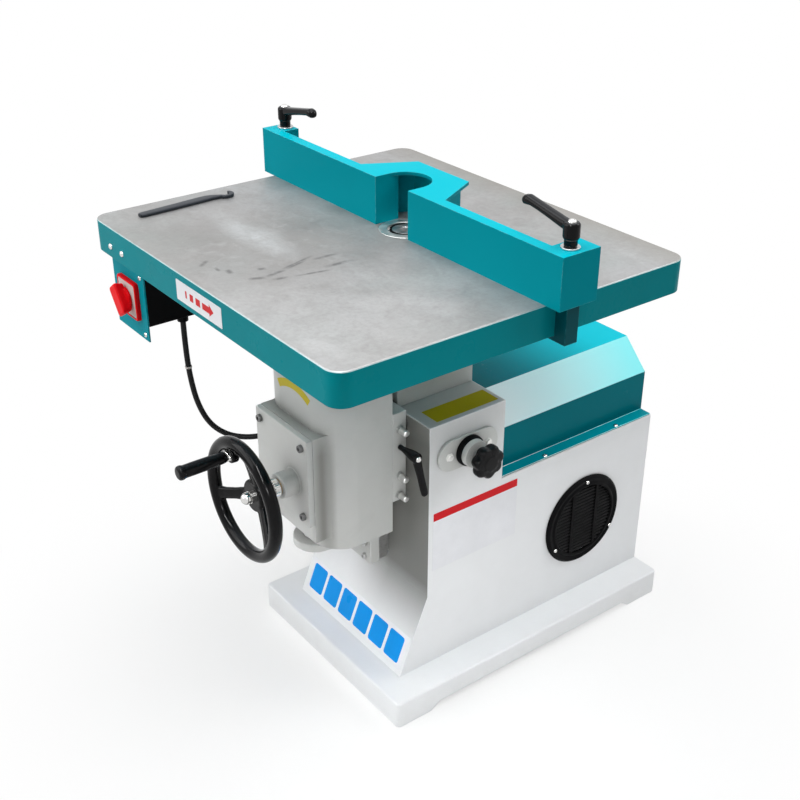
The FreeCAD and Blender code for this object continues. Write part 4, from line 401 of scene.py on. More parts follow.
def table_finish(name, teal):
    """Ground cast iron on the table's face and the bright bevel round it, teal enamel below."""
    metal = Finish(name, 0.4)
    warm, cool, green = (0.350, 0.342, 0.338), (0.395, 0.400, 0.408), (0.312, 0.348, 0.340)
    tone = metal.mix(metal.patchy((3.2, 5.0), 0.38, 0.64), warm, cool)
    tinged = metal.span(metal.noise(5.0, 4.0, turn=0.6, stretch=(1.2, 0.8, 1)), 0.45, 0.75, 0, 0.8)
    tone = metal.mix(tinged, tone, green)
    # A darker oval left of the table's middle, broken up by noise.
    darker_oval = metal.times(patch(metal, (-0.09, -0.26), 0.34, 0.27),
                         metal.patchy((6.0, 6.0, 0.6), 0.25, 0.7, 0.25, 0.85))
    tone = metal.mix(darker_oval, tone, (0.235, 0.230, 0.226))
    corner = metal.span(patch(metal, (0.30, -0.36), 0.34, 0.30), 0.0, 1.0, 0.0, 0.5)
    tone = metal.mix(corner, tone, (0.47, 0.475, 0.48))
    cloudy = metal.span(metal.noise(17.0, 9.0, 0.68, distortion=0.4), 0.45, 0.76, 0.0, 0.62)
    tone = metal.mix(cloudy, tone, (0.235, 0.228, 0.220))
    bright = metal.span(metal.noise(9.0, 6.0, 0.6, (0.6, 1.8, 1), 0.9), 0.58, 0.84, 0.0, 0.5)
    tone = metal.mix(bright, tone, (0.54, 0.55, 0.56))
    wiped = metal.times(patch(metal, (-0.13, -0.245), 0.15, 0.040), metal.patchy((16.0, 5.0), 0.25, 0.55))
    tone = metal.mix(metal.times(wiped, 0.70), tone, (0.57, 0.60, 0.62))
    speckle = metal.patchy((130.0, 7.0, 0.7), 0.42, 0.68, 0.0, 0.30)
    tone = metal.mix(speckle, tone, (0.230, 0.226, 0.222))
    mottle = metal.span(metal.noise(34.0, 6.0, 0.6, distortion=0.6), 0.52, 0.74, 0.0, 0.30)
    tone = metal.mix(mottle, tone, (0.47, 0.48, 0.485))
    far = metal.span(metal.coordinate("Y"), 0.20, 0.27, 0.0, 0.55)
    tone = metal.mix(far, tone, (0.27, 0.25, 0.22))
    lines = metal.noise(9.0, 6.0, 0.7, (90.0, 1.4, 1.0))
    tone = metal.mix(metal.span(lines, 0.35, 0.75, 0.0, 0.22), tone, (0.24, 0.235, 0.225))
    dark = None
    for n, (start, end) in enumerate(SCORES):
        mark = score(metal, start, end, 0.0042 + 0.0012 * (n % 3))
        dark = mark if dark is None else metal.math("MAXIMUM", dark, mark)
    broken = metal.patchy((90.0, 5.0, 0.6), 0.32, 0.55, 0.25, 0.80)
    tone = metal.mix(metal.times(dark, broken), tone, (0.125, 0.123, 0.125))

    height = metal.coordinate("Z")
    rim = metal.span(height, 0.8684, 0.8692, 0.9, 0.0)
    tone = metal.mix(rim, tone, (0.40, 0.62, 0.63))
    painted = metal.span(height, 0.8676, 0.8681, 1.0, 0.0)
    deep, fresh = (0.0006, teal[1] * 0.80, teal[2] * 0.74), (0.0006, teal[1] * 0.95, teal[2] * 0.90)
    paint = metal.mix(metal.patchy((2.6, 6.0), 0.30, 0.72), deep, fresh)
    dusty = metal.patchy((38.0, 8.0, 0.7), 0.55, 0.85, 0.0, 0.010)
    paint = metal.mix(dusty, paint, DUST_TONE)
    metal.colour(metal.mix(painted, tone, paint))
    metal.set("Metallic", metal.span(painted, 0.0, 1.0, 0.70, 0.0))
    metal.set("Specular IOR Level", metal.span(painted, 0.0, 1.0, 0.5, 0.03))
    dull = metal.patchy((7.0, 8.0, 0.65), 0.3, 0.75, 0.42, 0.60)
    gloss = metal.patchy((9.0, 7.0, 0.65), 0.3, 0.75, 0.22, 0.42)
    metal.set("Roughness", metal.math("ADD", metal.times(dull, metal.math("SUBTRACT", 1.0, painted)),
                                      metal.times(gloss, painted)))
    ground = metal.bump(lines, 0.00005, 0.4)
    metal.set("Normal", metal.bump(metal.noise(300.0, 3.0), 0.00005, 0.5, ground))
    return metal.material


def machined(name, colour, dull=0.32, tarnish=0.35):
    """Turned or ground steel with fine tool marks and a little tarnish."""
    metal = Finish(name, dull, Metallic=1.0)
    tone = metal.clouded(colour, (30.0, 6.0), 0.35, 0.7, 0.86, 1.08)
    stain = metal.patchy((90.0, 7.0, 0.7), 0.56, 0.78, 0.0, tarnish)
    metal.colour(metal.mix(stain, tone, (0.19, 0.165, 0.135)))
    marks = metal.noise(60.0, 3.0, 0.6, (1.0, 1.0, 40.0))
    metal.set("Roughness", metal.span(marks, 0.3, 0.75, dull - 0.08, dull + 0.14))
    metal.set("Normal", metal.bump(marks, 0.00003, 0.5))
    return metal.material


def plated(name, colour):
    """Bright plating with a few dull specks."""
    metal = Finish(name, 0.12, Metallic=1.0)
    tone = metal.mix(metal.patchy((60.0, 5.0), 0.4, 0.7), shade(colour, 0.92), colour)
    specks = metal.patchy((700.0, 4.0, 0.6), 0.66, 0.76, 0.0, 0.5)
    metal.colour(metal.mix(specks, tone, shade(colour, 0.5)))
    metal.rough((120.0, 6.0), 0.35, 0.7, 0.07, 0.24)
    metal.relief(((260.0, 2.0), 0.00004, 0.4))
    return metal.material


def black_gloss(name, colour, gloss=0.09):
    """Black stoved enamel or moulding, glossy, with a little dust, a painted sheen on its upper faces and hand
    wear.
    """
    paint = Finish(name, gloss, Specular_IOR_Level=0.12)
    dust = paint.patchy((45.0, 8.0, 0.7), 0.54, 0.86, 0.0, 0.025)
    tone = paint.mix(dust, colour, (0.16, 0.16, 0.16))
    # Painted sheen: faces that look up are drawn a little paler and bluer.
    tone = paint.mix(paint.span(paint.facing("Z"), 0.70, 1.0, 0.0, 0.14), tone, (0.15, 0.16, 0.18))
    rubbed = paint.worn((130.0, 6.0), 0.5, 0.7, 0.14, 0.0015)
    paint.colour(paint.mix(rubbed, tone, (0.14, 0.14, 0.14)))
    paint.rough((28.0, 7.0, 0.65), 0.3, 0.75, gloss - 0.03, gloss + 0.08)
    paint.relief(((48.0, 3.0), 0.00015, 0.4), ((520.0, 2.0), 0.00005, 0.5))
    return paint.material


def moulding(name, colour, gloss=0.42, grain=0.00008, shine=0.25, wear=0.10):
    """Moulded plastic with a fine grain and pale handling marks."""
    plastic = Finish(name, gloss, Specular_IOR_Level=shine)
    worn = plastic.patchy((33.0, 7.0, 0.68), 0.5, 0.85, 0.0, wear)
    tone = plastic.clouded(colour, (8.0, 4.0), 0.3, 0.75, 0.9, 1.06)
    pale = tuple(channel + (1 - channel) * 0.10 for channel in colour[:3])
    plastic.colour(plastic.mix(worn, tone, pale))
    plastic.rough((60.0, 6.0), 0.3, 0.75, gloss - 0.08, gloss + 0.14)
    plastic.relief(((900.0, 3.0), grain, 0.6))
    return plastic.material


def film(name, colour, gloss=0.34, shine=0.12):
    """Printed film, a little cockled, with soil at random."""
    sheet = Finish(name, gloss, Specular_IOR_Level=shine)
    tone = sheet.clouded(colour, (12.0, 5.0), 0.35, 0.7, 0.95, 1.03)
    soil = sheet.patchy((40.0, 8.0, 0.72), 0.52, 0.9, 0.0, 0.16)
    sheet.colour(sheet.mix(soil, tone, shade(colour, 0.62)))
    sheet.rough((20.0, 6.0), 0.3, 0.75, gloss - 0.08, gloss + 0.12)
    sheet.relief(((22.0, 3.0), 0.0006, 0.3))
    return sheet.material


FINISHES = {}


def make_finishes():
    paint = settings().paint
    teal, white, grey, black = tuple(paint.teal), tuple(paint.white), tuple(paint.grey), tuple(paint.black)
    FINISHES.update({
        "white_paint": white_enamel("white_enamel", white),
        "grey_paint": cast_enamel("grey_enamel", grey),
        # The pale primer on the fence's rubbed edges is partly wear and partly painted edge highlight.
        "teal_paint": enamel("teal_enamel", teal, 0.32, chips=0.55, primer=(0.22, 0.66, 0.70)),
        # The hood's teal is darkened to paint shade on its sides, and lightened again by painted light on its
        # upper faces, lid and slopes.
        "teal_sheet": enamel("teal_sheet_enamel", shade(teal, 0.60), 0.22, 0.03, primer=(0.10, 0.52, 0.56),
                             slope_sheen=((0.84, 0.95, 0.97), (0.28, 0.90, 0.94)), lit=shade(teal, 2.1)),
        # A painted-shade copy of the teal for the fence's jaws, which sit in shadow.
        "teal_painted_shade": enamel("teal_shaded_enamel", shade(teal, 0.27), 0.30, 0.05, 0.8, (0.10, 0.40, 0.44)),
        "ground_iron": table_finish("ground_table", teal),
        "steel": machined("machined_steel", (0.56, 0.56, 0.56)),
        "pale_steel": machined("zinc_steel", (0.82, 0.82, 0.80), 0.36, 0.15),
        "dull_steel": machined("oiled_steel", (0.20, 0.20, 0.20), 0.42),
        "chrome": plated("bright_plating", (0.72, 0.715, 0.70)),
        "black_iron": black_gloss("black_enamel", black),
        "blued_steel": black_gloss("blued_steel", (0.022, 0.026, 0.033), 0.34),
        "black_plastic": black_gloss("black_moulding", shade(black, 1.2), 0.2),
        "black_matte": moulding("black_grained", (0.003, 0.003, 0.0035), 0.5, shine=0.05, wear=0.02),
        "vent_plastic": moulding("vent_moulding", (0.0045, 0.0046, 0.005), 0.40, shine=0.07, wear=0.03),
        "red_plastic": moulding("red_moulding", tuple(paint.red), 0.34, 0.00004, 0.05, 0.03),
        "grey_plastic": moulding("pale_moulding", (0.60, 0.55, 0.52), 0.45),
        "rubber": moulding("cord_sheath", (0.004, 0.004, 0.0045), 0.46, 0.00005, 0.2),
        "bronze": machined("bearing_bronze", (0.55, 0.38, 0.18)),
        "motor_paint": enamel("motor_enamel", (0.10, 0.13, 0.16), 0.4),
        "white_film": film("white_film", (0.84, 0.85, 0.88)),
        "red_film": film("red_film", (0.66, 0.006, 0.012)),
        "yellow_film": film("yellow_film", tuple(paint.yellow)),
        # The plain strip's yellow is darkened as painted shade, for its place under the table.
        "strip_film": film("strip_film", shade(paint.yellow, 0.62), 0.42, 0.02),
        "blue_film": film("blue_film", tuple(paint.blue)),
    })


def add_object(name, data):
    piece = bpy.data.objects.new(name, data)
    bpy.context.scene.collection.objects.link(piece)
    return piece


def shaded_mesh(name, bm, smooth):
    """A mesh from a bmesh, with its faces outwards and smooth up to an angle."""
    bmesh.ops.recalc_face_normals(bm, faces=bm.faces)
    mesh = bpy.data.meshes.new(name)
    bm.to_mesh(mesh)
    bm.free()
    for polygon in mesh.polygons:
        polygon.use_smooth = True
    mesh.set_sharp_from_angle(angle=math.radians(smooth))
    return mesh


def bare_object(name, bm, finish, smooth=40.0):
    """An object from a bmesh, at the origin."""
    bmesh.ops.remove_doubles(bm, verts=bm.verts, dist=1e-6)
    mesh = shaded_mesh(name, bm, smooth)
    mesh.materials.append(FINISHES[finish])
    return add_object(name, mesh)


def fit(piece, body, slot, *nodes):
    """Makes a finished piece ride on its body, in place of the nodes that it stands for."""
    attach(piece, body)
    if nodes:
        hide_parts(*nodes)
    return piece


def coated(mesh, finish):
    """Gives the whole mesh one finish."""
    mesh.materials.clear()
    mesh.materials.append(finish)
    for polygon in mesh.polygons:
        polygon.material_index = 0


def baked(piece):
    """The piece's modifiers made into its mesh."""
    bpy.context.view_layer.update()
    graph = bpy.context.evaluated_depsgraph_get()
    mesh = bpy.data.meshes.new_from_object(piece.evaluated_get(graph))
    piece.modifiers.clear()
    old = piece.data
    piece.data = mesh
    mesh.name = piece.name
    bpy.data.meshes.remove(old)
    return piece


WHEEL_VOXEL, FINE_VOXEL = 0.0012, 0.0007


def melted(piece, voxel, passes):
    """Overlapping shells run together into one casting with soft inner corners."""
    remesh = piece.modifiers.new("Run together", "REMESH")
    remesh.mode = "VOXEL"
    remesh.voxel_size = voxel
    soften = piece.modifiers.new("Soft corners", "SMOOTH")
    soften.factor = 0.5
    soften.iterations = passes
    finish = piece.data.materials[0]
    baked(piece)
    coated(piece.data, finish)
    for polygon in piece.data.polygons:
        polygon.use_smooth = True
    return piece


def basis(axis):
    """Two directions across an axis."""
    axis = Vector(axis).normalized()
    side = (X if abs(axis.x) < 0.9 else Y).cross(axis).normalized()
    return side, axis.cross(side), axis


def softened(points, radius, steps=4):
    """A profile with its inner corners rounded."""
    points = [Vector(p) for p in points]
    line = [points[0]]
    for before, corner, after in zip(points, points[1:], points[2:]):
        back, on = before - corner, after - corner
        reach = min(radius, back.length * 0.48, on.length * 0.48)
        start, end = corner + back.normalized() * reach, corner + on.normalized() * reach
        for step in range(steps + 1):
            t = step / steps
            line.append(start * (1 - t) ** 2 + corner * 2 * t * (1 - t) + end * t * t)
    line.append(points[-1])
    return line


def lathe(bm, profile, origin, axis, steps=48, ripple=None):
    """Turns (radius, distance) pairs round an axis. ripple(angle, radius) may change a radius."""
    side, up, axis = basis(axis)
    rings = []
    for radius, along in profile:
        centre = Vector(origin) + axis * along
        if radius < 1e-6:
            rings.append([bm.verts.new(centre)])
            continue
        ring = []
        for step in range(steps):
            angle = math.tau * step / steps
            reach = ripple(angle, radius) if ripple else radius
            ring.append(bm.verts.new(centre + side * math.cos(angle) * reach + up * math.sin(angle) * reach))
        rings.append(ring)
    join_rings(bm, rings)
    for ring in (rings[0], rings[-1]):
        if len(ring) > 1:
            bm.faces.new(ring)


def turned(name, profile, origin, axis, steps, finish, body, slot, *nodes, smooth=40.0, ripple=None):
    """A turned piece, fitted to its body."""
    bm = bmesh.new()
    lathe(bm, profile, origin, axis, steps, ripple)
    return fit(bare_object(name, bm, finish, smooth), body, slot, *nodes)


def join_rings(bm, rings):
    for low, high in zip(rings, rings[1:]):
        if len(low) == 1 and len(high) == 1:
            continue
        count = max(len(low), len(high))
        for step in range(count):
            after = (step + 1) % count
            corners = [low[step % len(low)], low[after % len(low)],
                       high[after % len(high)], high[step % len(high)]]
            bm.faces.new(list(dict.fromkeys(corners)))


def loft(bm, sections):
    """A closed skin through rings of equal length."""
    rings = [[bm.verts.new(point) for point in section] for section in sections]
    join_rings(bm, rings)
    bm.faces.new(rings[0])
    bm.faces.new(rings[-1])


def oblong(wide, tall):
    """Corners of a rectangle from half its width and half its height."""
    return [(-wide, -tall), (wide, -tall), (wide, tall), (-wide, tall)]


def eased(outline, radius):
    """A closed outline with its corners rounded."""
    points = [Vector(p) for p in outline]
    seam = (points[-1] + points[0]) / 2
    return softened([seam, *points, seam], radius, 5)[:-1]


def slab(bm, outline, origin, across, up, low, high, radius=0.0, index=0):
    """A flat outline raised from low to high over a plane, with its corners rounded."""
    across, up = Vector(across).normalized(), Vector(up).normalized()
    out = across.cross(up)
    points = eased(outline, radius) if radius else [Vector(p) for p in outline]
    rings = []
    for level in (low, high):
        rings.append([bm.verts.new(Vector(origin) + across * p.x + up * p.y + out * level) for p in points])
    before = len(bm.faces)
    join_rings(bm, rings)
    bm.faces.new(rings[0])
    bm.faces.new(rings[1])
    bm.faces.ensure_lookup_table()
    for face in bm.faces[before:]:
        face.material_index = index


def solids_of(node):
    """Low and high corner of each separate solid of a node."""
    mesh = frame["nodes"][node].data
    keys, parent = {}, []

    def root(index):
        while parent[index] != index:
            parent[index] = parent[parent[index]]
            index = parent[index]
        return index

    index_of = []
    for vertex in mesh.vertices:
        key = tuple(round(c * 20000) for c in vertex.co)
        if key not in keys:
            keys[key] = len(parent)
            parent.append(len(parent))
        index_of.append(keys[key])
    for polygon in mesh.polygons:
        first = root(index_of[polygon.vertices[0]])
        for vertex in polygon.vertices[1:]:
            parent[root(index_of[vertex])] = first
    boxes = {}
    for vertex in mesh.vertices:
        corner = boxes.setdefault(root(index_of[vertex.index]), [vertex.co.copy(), vertex.co.copy()])
        for axis in range(3):
            corner[0][axis] = min(corner[0][axis], vertex.co[axis])
            corner[1][axis] = max(corner[1][axis], vertex.co[axis])
    return sorted(boxes.values(), key=lambda box: tuple(round(c, 4) for c in box[0]))


# Nodes whose finish differs from the rest of their slot
# The fence's jaws take a painted-shade copy of the teal.
OWN_FINISH = {"hood": "teal_sheet", "fence_jaw_left": "teal_painted_shade", "fence_jaw_right": "teal_painted_shade",
              "nose_nut": "black_matte", "table_insert": "pale_steel"}


class MOULDER_OT_castings(bpy.types.Operator):
    """Rounds the edges of the castings and plates and gives every node its finish"""

    bl_idname = "moulder.castings"
    bl_label = "Castings"

    def execute(self, context):
        make_finishes()
        slots = {part["node"]: part["material_slot"] for part in frame["record"]["subparts"]}
        for name, node in frame["nodes"].items():
            finish = FINISHES[OWN_FINISH.get(name, slots[name])]
            for slot in node.material_slots:
                slot.material = finish
            if name not in EDGE_ROUNDING:
                continue
            weld = node.modifiers.new("Weld", "WELD")
            weld.merge_threshold = 1e-5
            flats = node.modifiers.new("Flats", "DECIMATE")
            flats.decimate_type = "DISSOLVE"
            flats.angle_limit = math.radians(0.6)
            bevel = node.modifiers.new("Edges", "BEVEL")
            bevel.width = EDGE_ROUNDING[name]
            bevel.segments = 3
            bevel.limit_method = "ANGLE"
            bevel.angle_limit = math.radians(38)
            bevel.use_clamp_overlap = True
            bevel.harden_normals = True
            bevel.miter_outer = "MITER_ARC"
        return {"FINISHED"}


class MOULDER_OT_cord(bpy.types.Operator):
    """Hangs the switch cord between its two glands and ties it"""

    bl_idname = "moulder.cord"
    bl_label = "Switch cord"

    def execute(self, context):
        radius = settings().controls.cord_radius
        curve = bpy.data.curves.new("switch_cord", "CURVE")
        curve.dimensions = "3D"
        spline = curve.splines.new("NURBS")
        spline.points.add(len(CORD_ROUTE) - 1)
        for point, place in zip(spline.points, CORD_ROUTE):
            point.co = (*place, 1.0)
        spline.order_u = 3
        spline.use_endpoint_u = True
        spline.resolution_u = 12
        line = add_object("cord_line", curve.copy())
        context.view_layer.update()
        path = bpy.data.meshes.new_from_object(line.evaluated_get(context.evaluated_depsgraph_get()))
        points = [vertex.co.copy() for vertex in path.vertices]
        bpy.data.objects.remove(line)

        curve.bevel_depth = radius
        curve.bevel_resolution = 8
        curve.use_fill_caps = True
        curve.materials.append(FINISHES["rubber"])
        cord = add_object("switch_cord", curve)
        fit(cord, "table_unit", "rubber", "switch_cable")

        ties = bmesh.new()
        for share in (0.13, 0.83):
            index = int(share * (len(points) - 1))
            along = (points[index + 1] - points[index]).normalized()
            outer, half = radius + 0.0012, 0.002
            profile = softened([(radius, -half), (outer, -half), (outer, half), (radius, half)], 0.0005)
            lathe(ties, [(0.0, -half), *profile, (0.0, half)], points[index], along, 28)
            side = along.cross(X if abs(along.x) < 0.8 else Z).normalized()
            up = along.cross(side)
            slab(ties, oblong(0.0026, 0.0026), points[index] + up.cross(along) * (radius - 0.0005),
                 along, up, -0.0005, 0.0036, 0.0008)
        tie = fit(bare_object("cord_ties", ties, "grey_plastic"), "table_unit", "grey_plastic")
        length = sum((b - a).length for a, b in zip(points, points[1:]))
        return {"FINISHED"}


def hoop(bm, profile, origin, axis, steps=96):
    """Turns a closed outline of (radius, distance) pairs round an axis."""
    side, up, axis = basis(axis)
    rings = []
    for step in range(steps):
        angle = math.tau * step / steps
        out = side * math.cos(angle) + up * math.sin(angle)
        rings.append([bm.verts.new(Vector(origin) + out * radius + axis * along) for radius, along in profile])
    join_rings(bm, [*rings, rings[0]])


def squared(centre, across, up, half, thick, power=0.7, count=24):
    """A ring of points round an oval with squared shoulders."""
    ring = []
    for n in range(count):
        turn = math.tau * n / count
        wide, tall = math.cos(turn), math.sin(turn)
        ring.append(centre + across * half * math.copysign(abs(wide) ** power, wide)
                    + up * thick * math.copysign(abs(tall) ** power, tall))
    return ring


def middle_of(node):
    low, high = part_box(node)
    return (Vector(low) + Vector(high)) / 2


class MOULDER_OT_handwheel(bpy.types.Operator):
    """Casts the dished handwheel and turns its handle and collar"""

    bl_idname = "moulder.handwheel"
    bl_label = "Handwheel"

    def cast_wheel(self, sizes, axle, pin, rim):
        seat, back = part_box("dome_nut")[1][1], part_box("handwheel")[1][1]
        wheel = bmesh.new()
        tube = [(sizes.rim_radius + sizes.rim_tube * math.cos(turn), rim + sizes.rim_tube * math.sin(turn))
                for turn in (math.tau * n / 28 for n in range(28))]
        hoop(wheel, tube, axle, Y, 128)
        hub = softened([
            (0.0, seat), (0.0265, seat), (0.0297, seat + 0.003), (0.0297, seat + 0.0145),
            (0.0255, seat + 0.0168), (0.0198, seat + 0.0185), (0.0198, back - 0.003),
            (0.0185, back - 0.0006), (0.0, back - 0.0006)], 0.002)
        lathe(wheel, hub, axle, Y, 56)
        hub_middle = seat + 0.0085
        spoke_root, spoke_run = 0.022, 0.077
        for degrees in (200.0, 80.0, -40.0):
            angle = math.radians(degrees)
            out = Vector((math.cos(angle), 0, math.sin(angle)))
            sections = []
            for reach, half, thick in (
                    (0.014, 0.0135, 0.0068), (0.030, 0.0120, 0.0064), (0.055, 0.0104, 0.0060),
                    (0.078, 0.0106, 0.0062), (0.099, 0.0135, 0.0078)):
                share = max(0.0, (reach - spoke_root) / spoke_run)
                centre = axle + out * reach + Y * (hub_middle + (rim - hub_middle) * share)
                sections.append(squared(centre, Y.cross(out), Y, half, thick))
            loft(wheel, sections)
        boss = softened([(0.0, rim - 0.004), (0.0140, rim - 0.004), (0.0150, rim + 0.010),
                         (0.0, rim + 0.0115)], 0.003)
        lathe(wheel, boss, (pin.x, 0, pin.z), Y, 36)
        casting = melted(bare_object("handwheel_casting", wheel, "black_iron"), WHEEL_VOXEL, 8)
        fit(casting, "handwheel", "black_iron", "handwheel")

    def turn_handle(self, pin, rim):
        low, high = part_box("handle_grip")
        front, back, length = low[1], high[1], high[1] - low[1]
        turned("handle_grip_turned", softened([
            (0.0, 0.0), (0.0086, 0.0), (0.0118, 0.0018), (0.0128, 0.0045), (0.0128, 0.0085), (0.0114, 0.0120),
            (0.0116, 0.030), (0.0112, 0.060), (0.0102, length - 0.006), (0.0090, length),
            (0.0, length)], 0.004, 5),
            (pin.x, front, pin.z), Y, 56, "black_plastic", "handle", "black_plastic", "handle_grip")
        turned("handle_end_cap", softened([(0.0, 0.0), (0.0078, 0.0), (0.0088, 0.0010), (0.0, 0.0016)], 0.0006),
               (pin.x, front + 0.00005, pin.z), Y, 36, "chrome", "handle", "chrome")
        root = bmesh.new()
        knuckle = softened([(0.0, back), (0.0088, back), (0.0094, back + 0.0015), (0.0094, rim - 0.003),
                            (0.0070, rim - 0.001), (0.0, rim - 0.001)], 0.001)
        lathe(root, knuckle, (pin.x, 0, pin.z), Y, 40)
        cross_pin = softened([(0.0, -0.0118), (0.0042, -0.0118), (0.0048, -0.0100), (0.0048, 0.0100),
                              (0.0042, 0.0118), (0.0, 0.0118)], 0.001)
        lathe(root, cross_pin, (pin.x, rim - 0.0045, pin.z), X, 28)
        fit(bare_object("handle_knuckle", root, "chrome"), "handwheel", "chrome")

    def turn_collar(self, axle):
        low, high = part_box("shaft_collar")
        radius, length = (high[0] - low[0]) / 2, high[1] - low[1]
        teeth, groove, bore = 44, 0.0007, 0.0101

        def knurl(angle, reach):
            return reach - (groove if reach > radius * 0.97 and math.cos(teeth * angle) < 0 else 0.0)

        turned("shaft_collar_knurled", [
            (bore, 0.0), (radius - 0.004, 0.0), (radius - 0.004, length * 0.34),
            (radius - 0.0012, length * 0.36), (radius, length * 0.40), (radius, length * 0.90),
            (radius - 0.0014, length * 0.94),
            (radius - 0.005, length), (bore, length)],
            (axle.x, low[1], axle.z), Y, teeth * 4, "chrome", "handwheel", "steel", "shaft_collar",
            smooth=28, ripple=knurl)

    def turn_nut(self, axle):
        low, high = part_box("dome_nut")
        radius, length = (high[0] - low[0]) / 2, high[1] - low[1]
        dome = [(radius * 0.96 * math.sin(turn), radius * 0.96 * (1 - math.cos(turn)))
                for turn in (math.radians(10 * n) for n in range(11))]
        turned("dome_nut_polished", [
            *dome, (radius * 0.80, length * 0.66), (radius * 0.80, length * 0.72),
            (radius * 0.98, length * 0.76), (radius * 0.98, length), (0.0, length)],
            (axle.x, low[1], axle.z), Y, 48, "chrome", "handwheel", "chrome", "dome_nut", smooth=35)

    def execute(self, context):
        sizes = settings().controls
        axle, pin = middle_of("wheel_shaft"), middle_of("handle_pin")
        axle.y = 0.0
        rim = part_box("handwheel")[0][1] + sizes.rim_tube + 0.0001
        self.cast_wheel(sizes, axle, pin, rim)
        self.turn_handle(pin, rim)
        self.turn_collar(axle)
        self.turn_nut(axle)
        return {"FINISHED"}


def lever_arm(bm, pivot, inward, seat, reach):
    """The rising arm of a fence lever with its hooked, rounded end."""
    stations = (
        (0.000, 0.0285, 0.0098, 0.0088), (0.018, 0.0315, 0.0098, 0.0078), (0.042, 0.0366, 0.0094, 0.0070),
        (0.066, 0.0414, 0.0090, 0.0066), (0.084, 0.0446, 0.0090, 0.0068), (0.0915, 0.0450, 0.0092, 0.0080),
        (0.0975, 0.0442, 0.0086, 0.0078), (0.1012, 0.0436, 0.0068, 0.0062), (0.1036, 0.0432, 0.0038, 0.0036),
    )
    sections = []
    for along, height, half, thick in stations:
        centre = Vector((pivot.x, pivot.y, seat)) + inward * along * reach / LEVER_LENGTH + Z * height
        sections.append(squared(centre, Y, Z, half, thick, 0.82, 28))
    loft(bm, sections)


class MOULDER_OT_levers(bpy.types.Operator):
    """Makes the two fence levers and the slide clamp's lever"""

    bl_idname = "moulder.levers"
    bl_label = "Clamp levers"

    def fence_lever(self, node, sign, washer, reach):
        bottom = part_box(node)[0][2]
        pivot = (washer[0] + washer[1]) / 2
        seat = washer[1][2] + 0.0003
        lever = bmesh.new()
        hub = softened([(0.0, 0.0), (0.0103, 0.0), (0.0103, 0.0095), (0.0130, 0.0135), (0.0131, 0.0335),
                        (0.0108, 0.0368), (0.0, 0.0368)], 0.0016)
        lathe(lever, hub, (pivot.x, pivot.y, seat), Z, 56)
        lever_arm(lever, pivot, X * -sign, seat, reach)
        fit(melted(bare_object(f"{node}_casting", lever, "black_iron"), FINE_VOXEL, 5), node, "black_iron")
        turned(f"{node}_stud", softened([
            (0.0, bottom), (0.0052, bottom), (0.006, bottom + 0.0012), (0.006, seat + 0.002),
            (0.0, seat + 0.002)], 0.0004), (pivot.x, pivot.y, 0), Z, 28, "steel", node, "steel", node)
        turned(f"{node}_screw", softened([
            (0.0, 0.0), (0.0066, 0.0), (0.0066, 0.0014), (0.0054, 0.0036), (0.0028, 0.0049), (0.0, 0.0051)],
            0.0012), (pivot.x, pivot.y, seat + 0.0362), Z, 32, "chrome", node, "chrome")

    def clamp_lever(self):
        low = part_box("slide_clamp_lever")[0]
        y, z = frame_axis("slide_clamp_turn")
        lever = bmesh.new()
        start, end = low[0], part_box("gib_screws")[0][0] + 0.0555
        stem = softened([
            (0.0, start), (0.005, start), (0.005, start + 0.010), (0.0065, start + 0.020),
            (0.0092, end - 0.022), (0.0100, end - 0.014), (0.0100, end - 0.004), (0.0080, end - 0.0015),
            (0.0, end - 0.0015)], 0.002)
        lathe(lever, stem, (0, y, z), X, 40)
        lean, splay = math.radians(8), math.radians(10)
        down = Vector((math.sin(splay), math.sin(lean), -math.cos(lean))).normalized()
        across = X.cross(down).normalized()
        out = down.cross(across).normalized()
        root, length = Vector((end - 0.0080, y, z)), (z - low[2]) * 0.985
        loft(lever, [
            squared(root + down * length * share, across, out, half, thick, 0.65)
            for share, half, thick in ((0.0, 0.0080, 0.0066), (0.25, 0.0072, 0.0056), (0.55, 0.0066, 0.0047),
                                       (0.85, 0.0068, 0.0044), (0.96, 0.0060, 0.0040), (1.0, 0.0034, 0.0024))])
        casting = melted(bare_object("slide_clamp_casting", lever, "black_iron"), FINE_VOXEL, 5)
        fit(casting, "slide_clamp", "black_iron", "slide_clamp_lever")
        turned("slide_clamp_screw", softened([
            (0.0, -0.006), (0.0056, -0.006), (0.0056, 0.0002), (0.0040, 0.0018), (0.0, 0.0022)], 0.0010),
            (end, y, z), X, 28, "chrome", "slide_clamp", "chrome")

    def execute(self, context):
        reach = settings().controls.lever_reach
        washers = solids_of("fence_washers")
        self.fence_lever("fence_lever_left", -1, washers[0], reach)
        self.fence_lever("fence_lever_right", 1, washers[-1], reach)
        self.clamp_lever()
        return {"FINISHED"}


